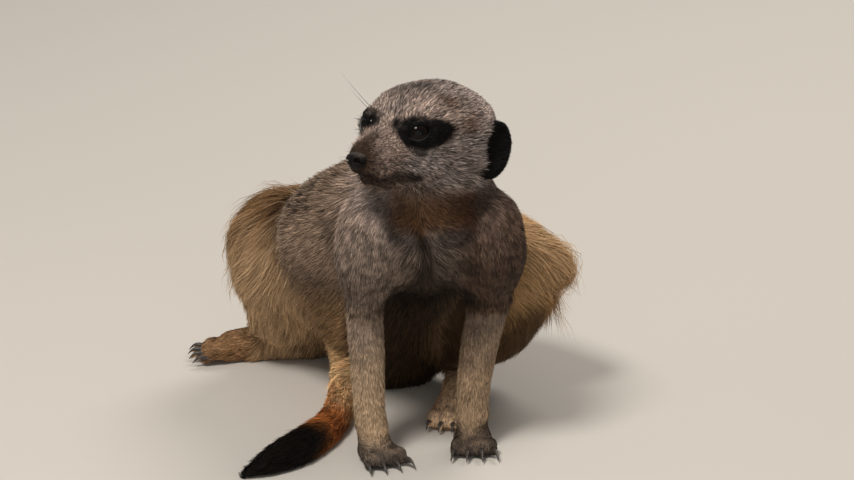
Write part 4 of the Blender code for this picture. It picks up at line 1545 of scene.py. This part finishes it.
FLOOR_SIDE = 12.0
CAMERA_PITCH, CAMERA_DISTANCE, CAMERA_LENS = math.radians(20.0), 250.0, 242.4
CAMERA_ACROSS, CAMERA_UP, CAMERA_CLIP = -0.13, 9.65, 50.0
# Each lamp's place, the height that it shines at, its size in metres and its power in watts.
LAMPS = (
    ("key", (-0.35, -0.55, 1.25), 0.08, 0.35, 12.5),
    ("back", (0.45, 0.75, 0.95), 0.08, 0.6, 6.0),
    ("fill", (0.1, -1.4, 0.3), 0.05, 1.6, 4.5),
)
LAMP_COLOUR = (1.0, 0.96, 0.9)
SKY_COLOUR, SKY_STRENGTH = (0.92, 0.9, 0.86, 1.0), 0.3
FLOOR_COLOUR = (0.62, 0.58, 0.53, 1.0)


def floor():
    half = FLOOR_SIDE / 2
    points = np.array(((-half, -half, 0), (half, -half, 0), (half, half, 0), (-half, half, 0)))
    made = new_object("floor", mesh_from("floor", points, np.array(((0, 1, 2, 3),))))
    made.data.materials.append(floor_material())


def camera():
    """The photograph's view: from in front and above, 20 degrees down, with a long lens."""
    up = np.array((0, math.sin(CAMERA_PITCH), math.cos(CAMERA_PITCH)))
    ahead = np.array((0, math.cos(CAMERA_PITCH), -math.sin(CAMERA_PITCH)))
    aim = np.array((CAMERA_ACROSS, 0, 0)) + up * CAMERA_UP
    made = new_object("camera", bpy.data.cameras.new("camera"))
    made.data.lens = CAMERA_LENS
    made.data.clip_end = CAMERA_CLIP
    made.location = from_chest(aim - ahead * CAMERA_DISTANCE)
    made.rotation_euler = (math.pi / 2 - CAMERA_PITCH, 0, 0)
    bpy.context.scene.camera = made


def lamp(name, place, aim_height, size, power):
    """A round lamp that shines at a height over the middle of the floor."""
    data = bpy.data.lights.new(name, "AREA")
    data.shape = "DISK"
    data.size, data.energy, data.color = size, power, LAMP_COLOUR
    made = new_object(name, data)
    made.location = place
    made.rotation_euler = (Vector((0, 0, aim_height)) - Vector(place)).to_track_quat("-Z", "Y").to_euler()


def lights():
    """Soft light from above and behind, a weaker one from the front, and a pale sky."""
    for row in LAMPS:
        lamp(*row)
    world = bpy.data.worlds.new("sky")
    world.use_nodes = True
    background = world.node_tree.nodes["Background"]
    background.inputs["Color"].default_value = SKY_COLOUR
    background.inputs["Strength"].default_value = SKY_STRENGTH
    bpy.context.scene.world = world
    bpy.context.scene.view_settings.view_transform = "Standard"


def main():
    skin = Skin()
    growth = Growth(skin)
    skin_piece(skin, growth, skin_material())
    coat = coat_material()
    dress(growth, coat)
    eye = eye_material()
    for sign, name in SIDES:
        eyeball(sign, name, eye)
        wet_edge(sign, name, eye)
    nose_piece(nose_material())
    claws(claw_material())
    whiskers(skin, claw_material())
    floor()
    lights()
    camera()


main()
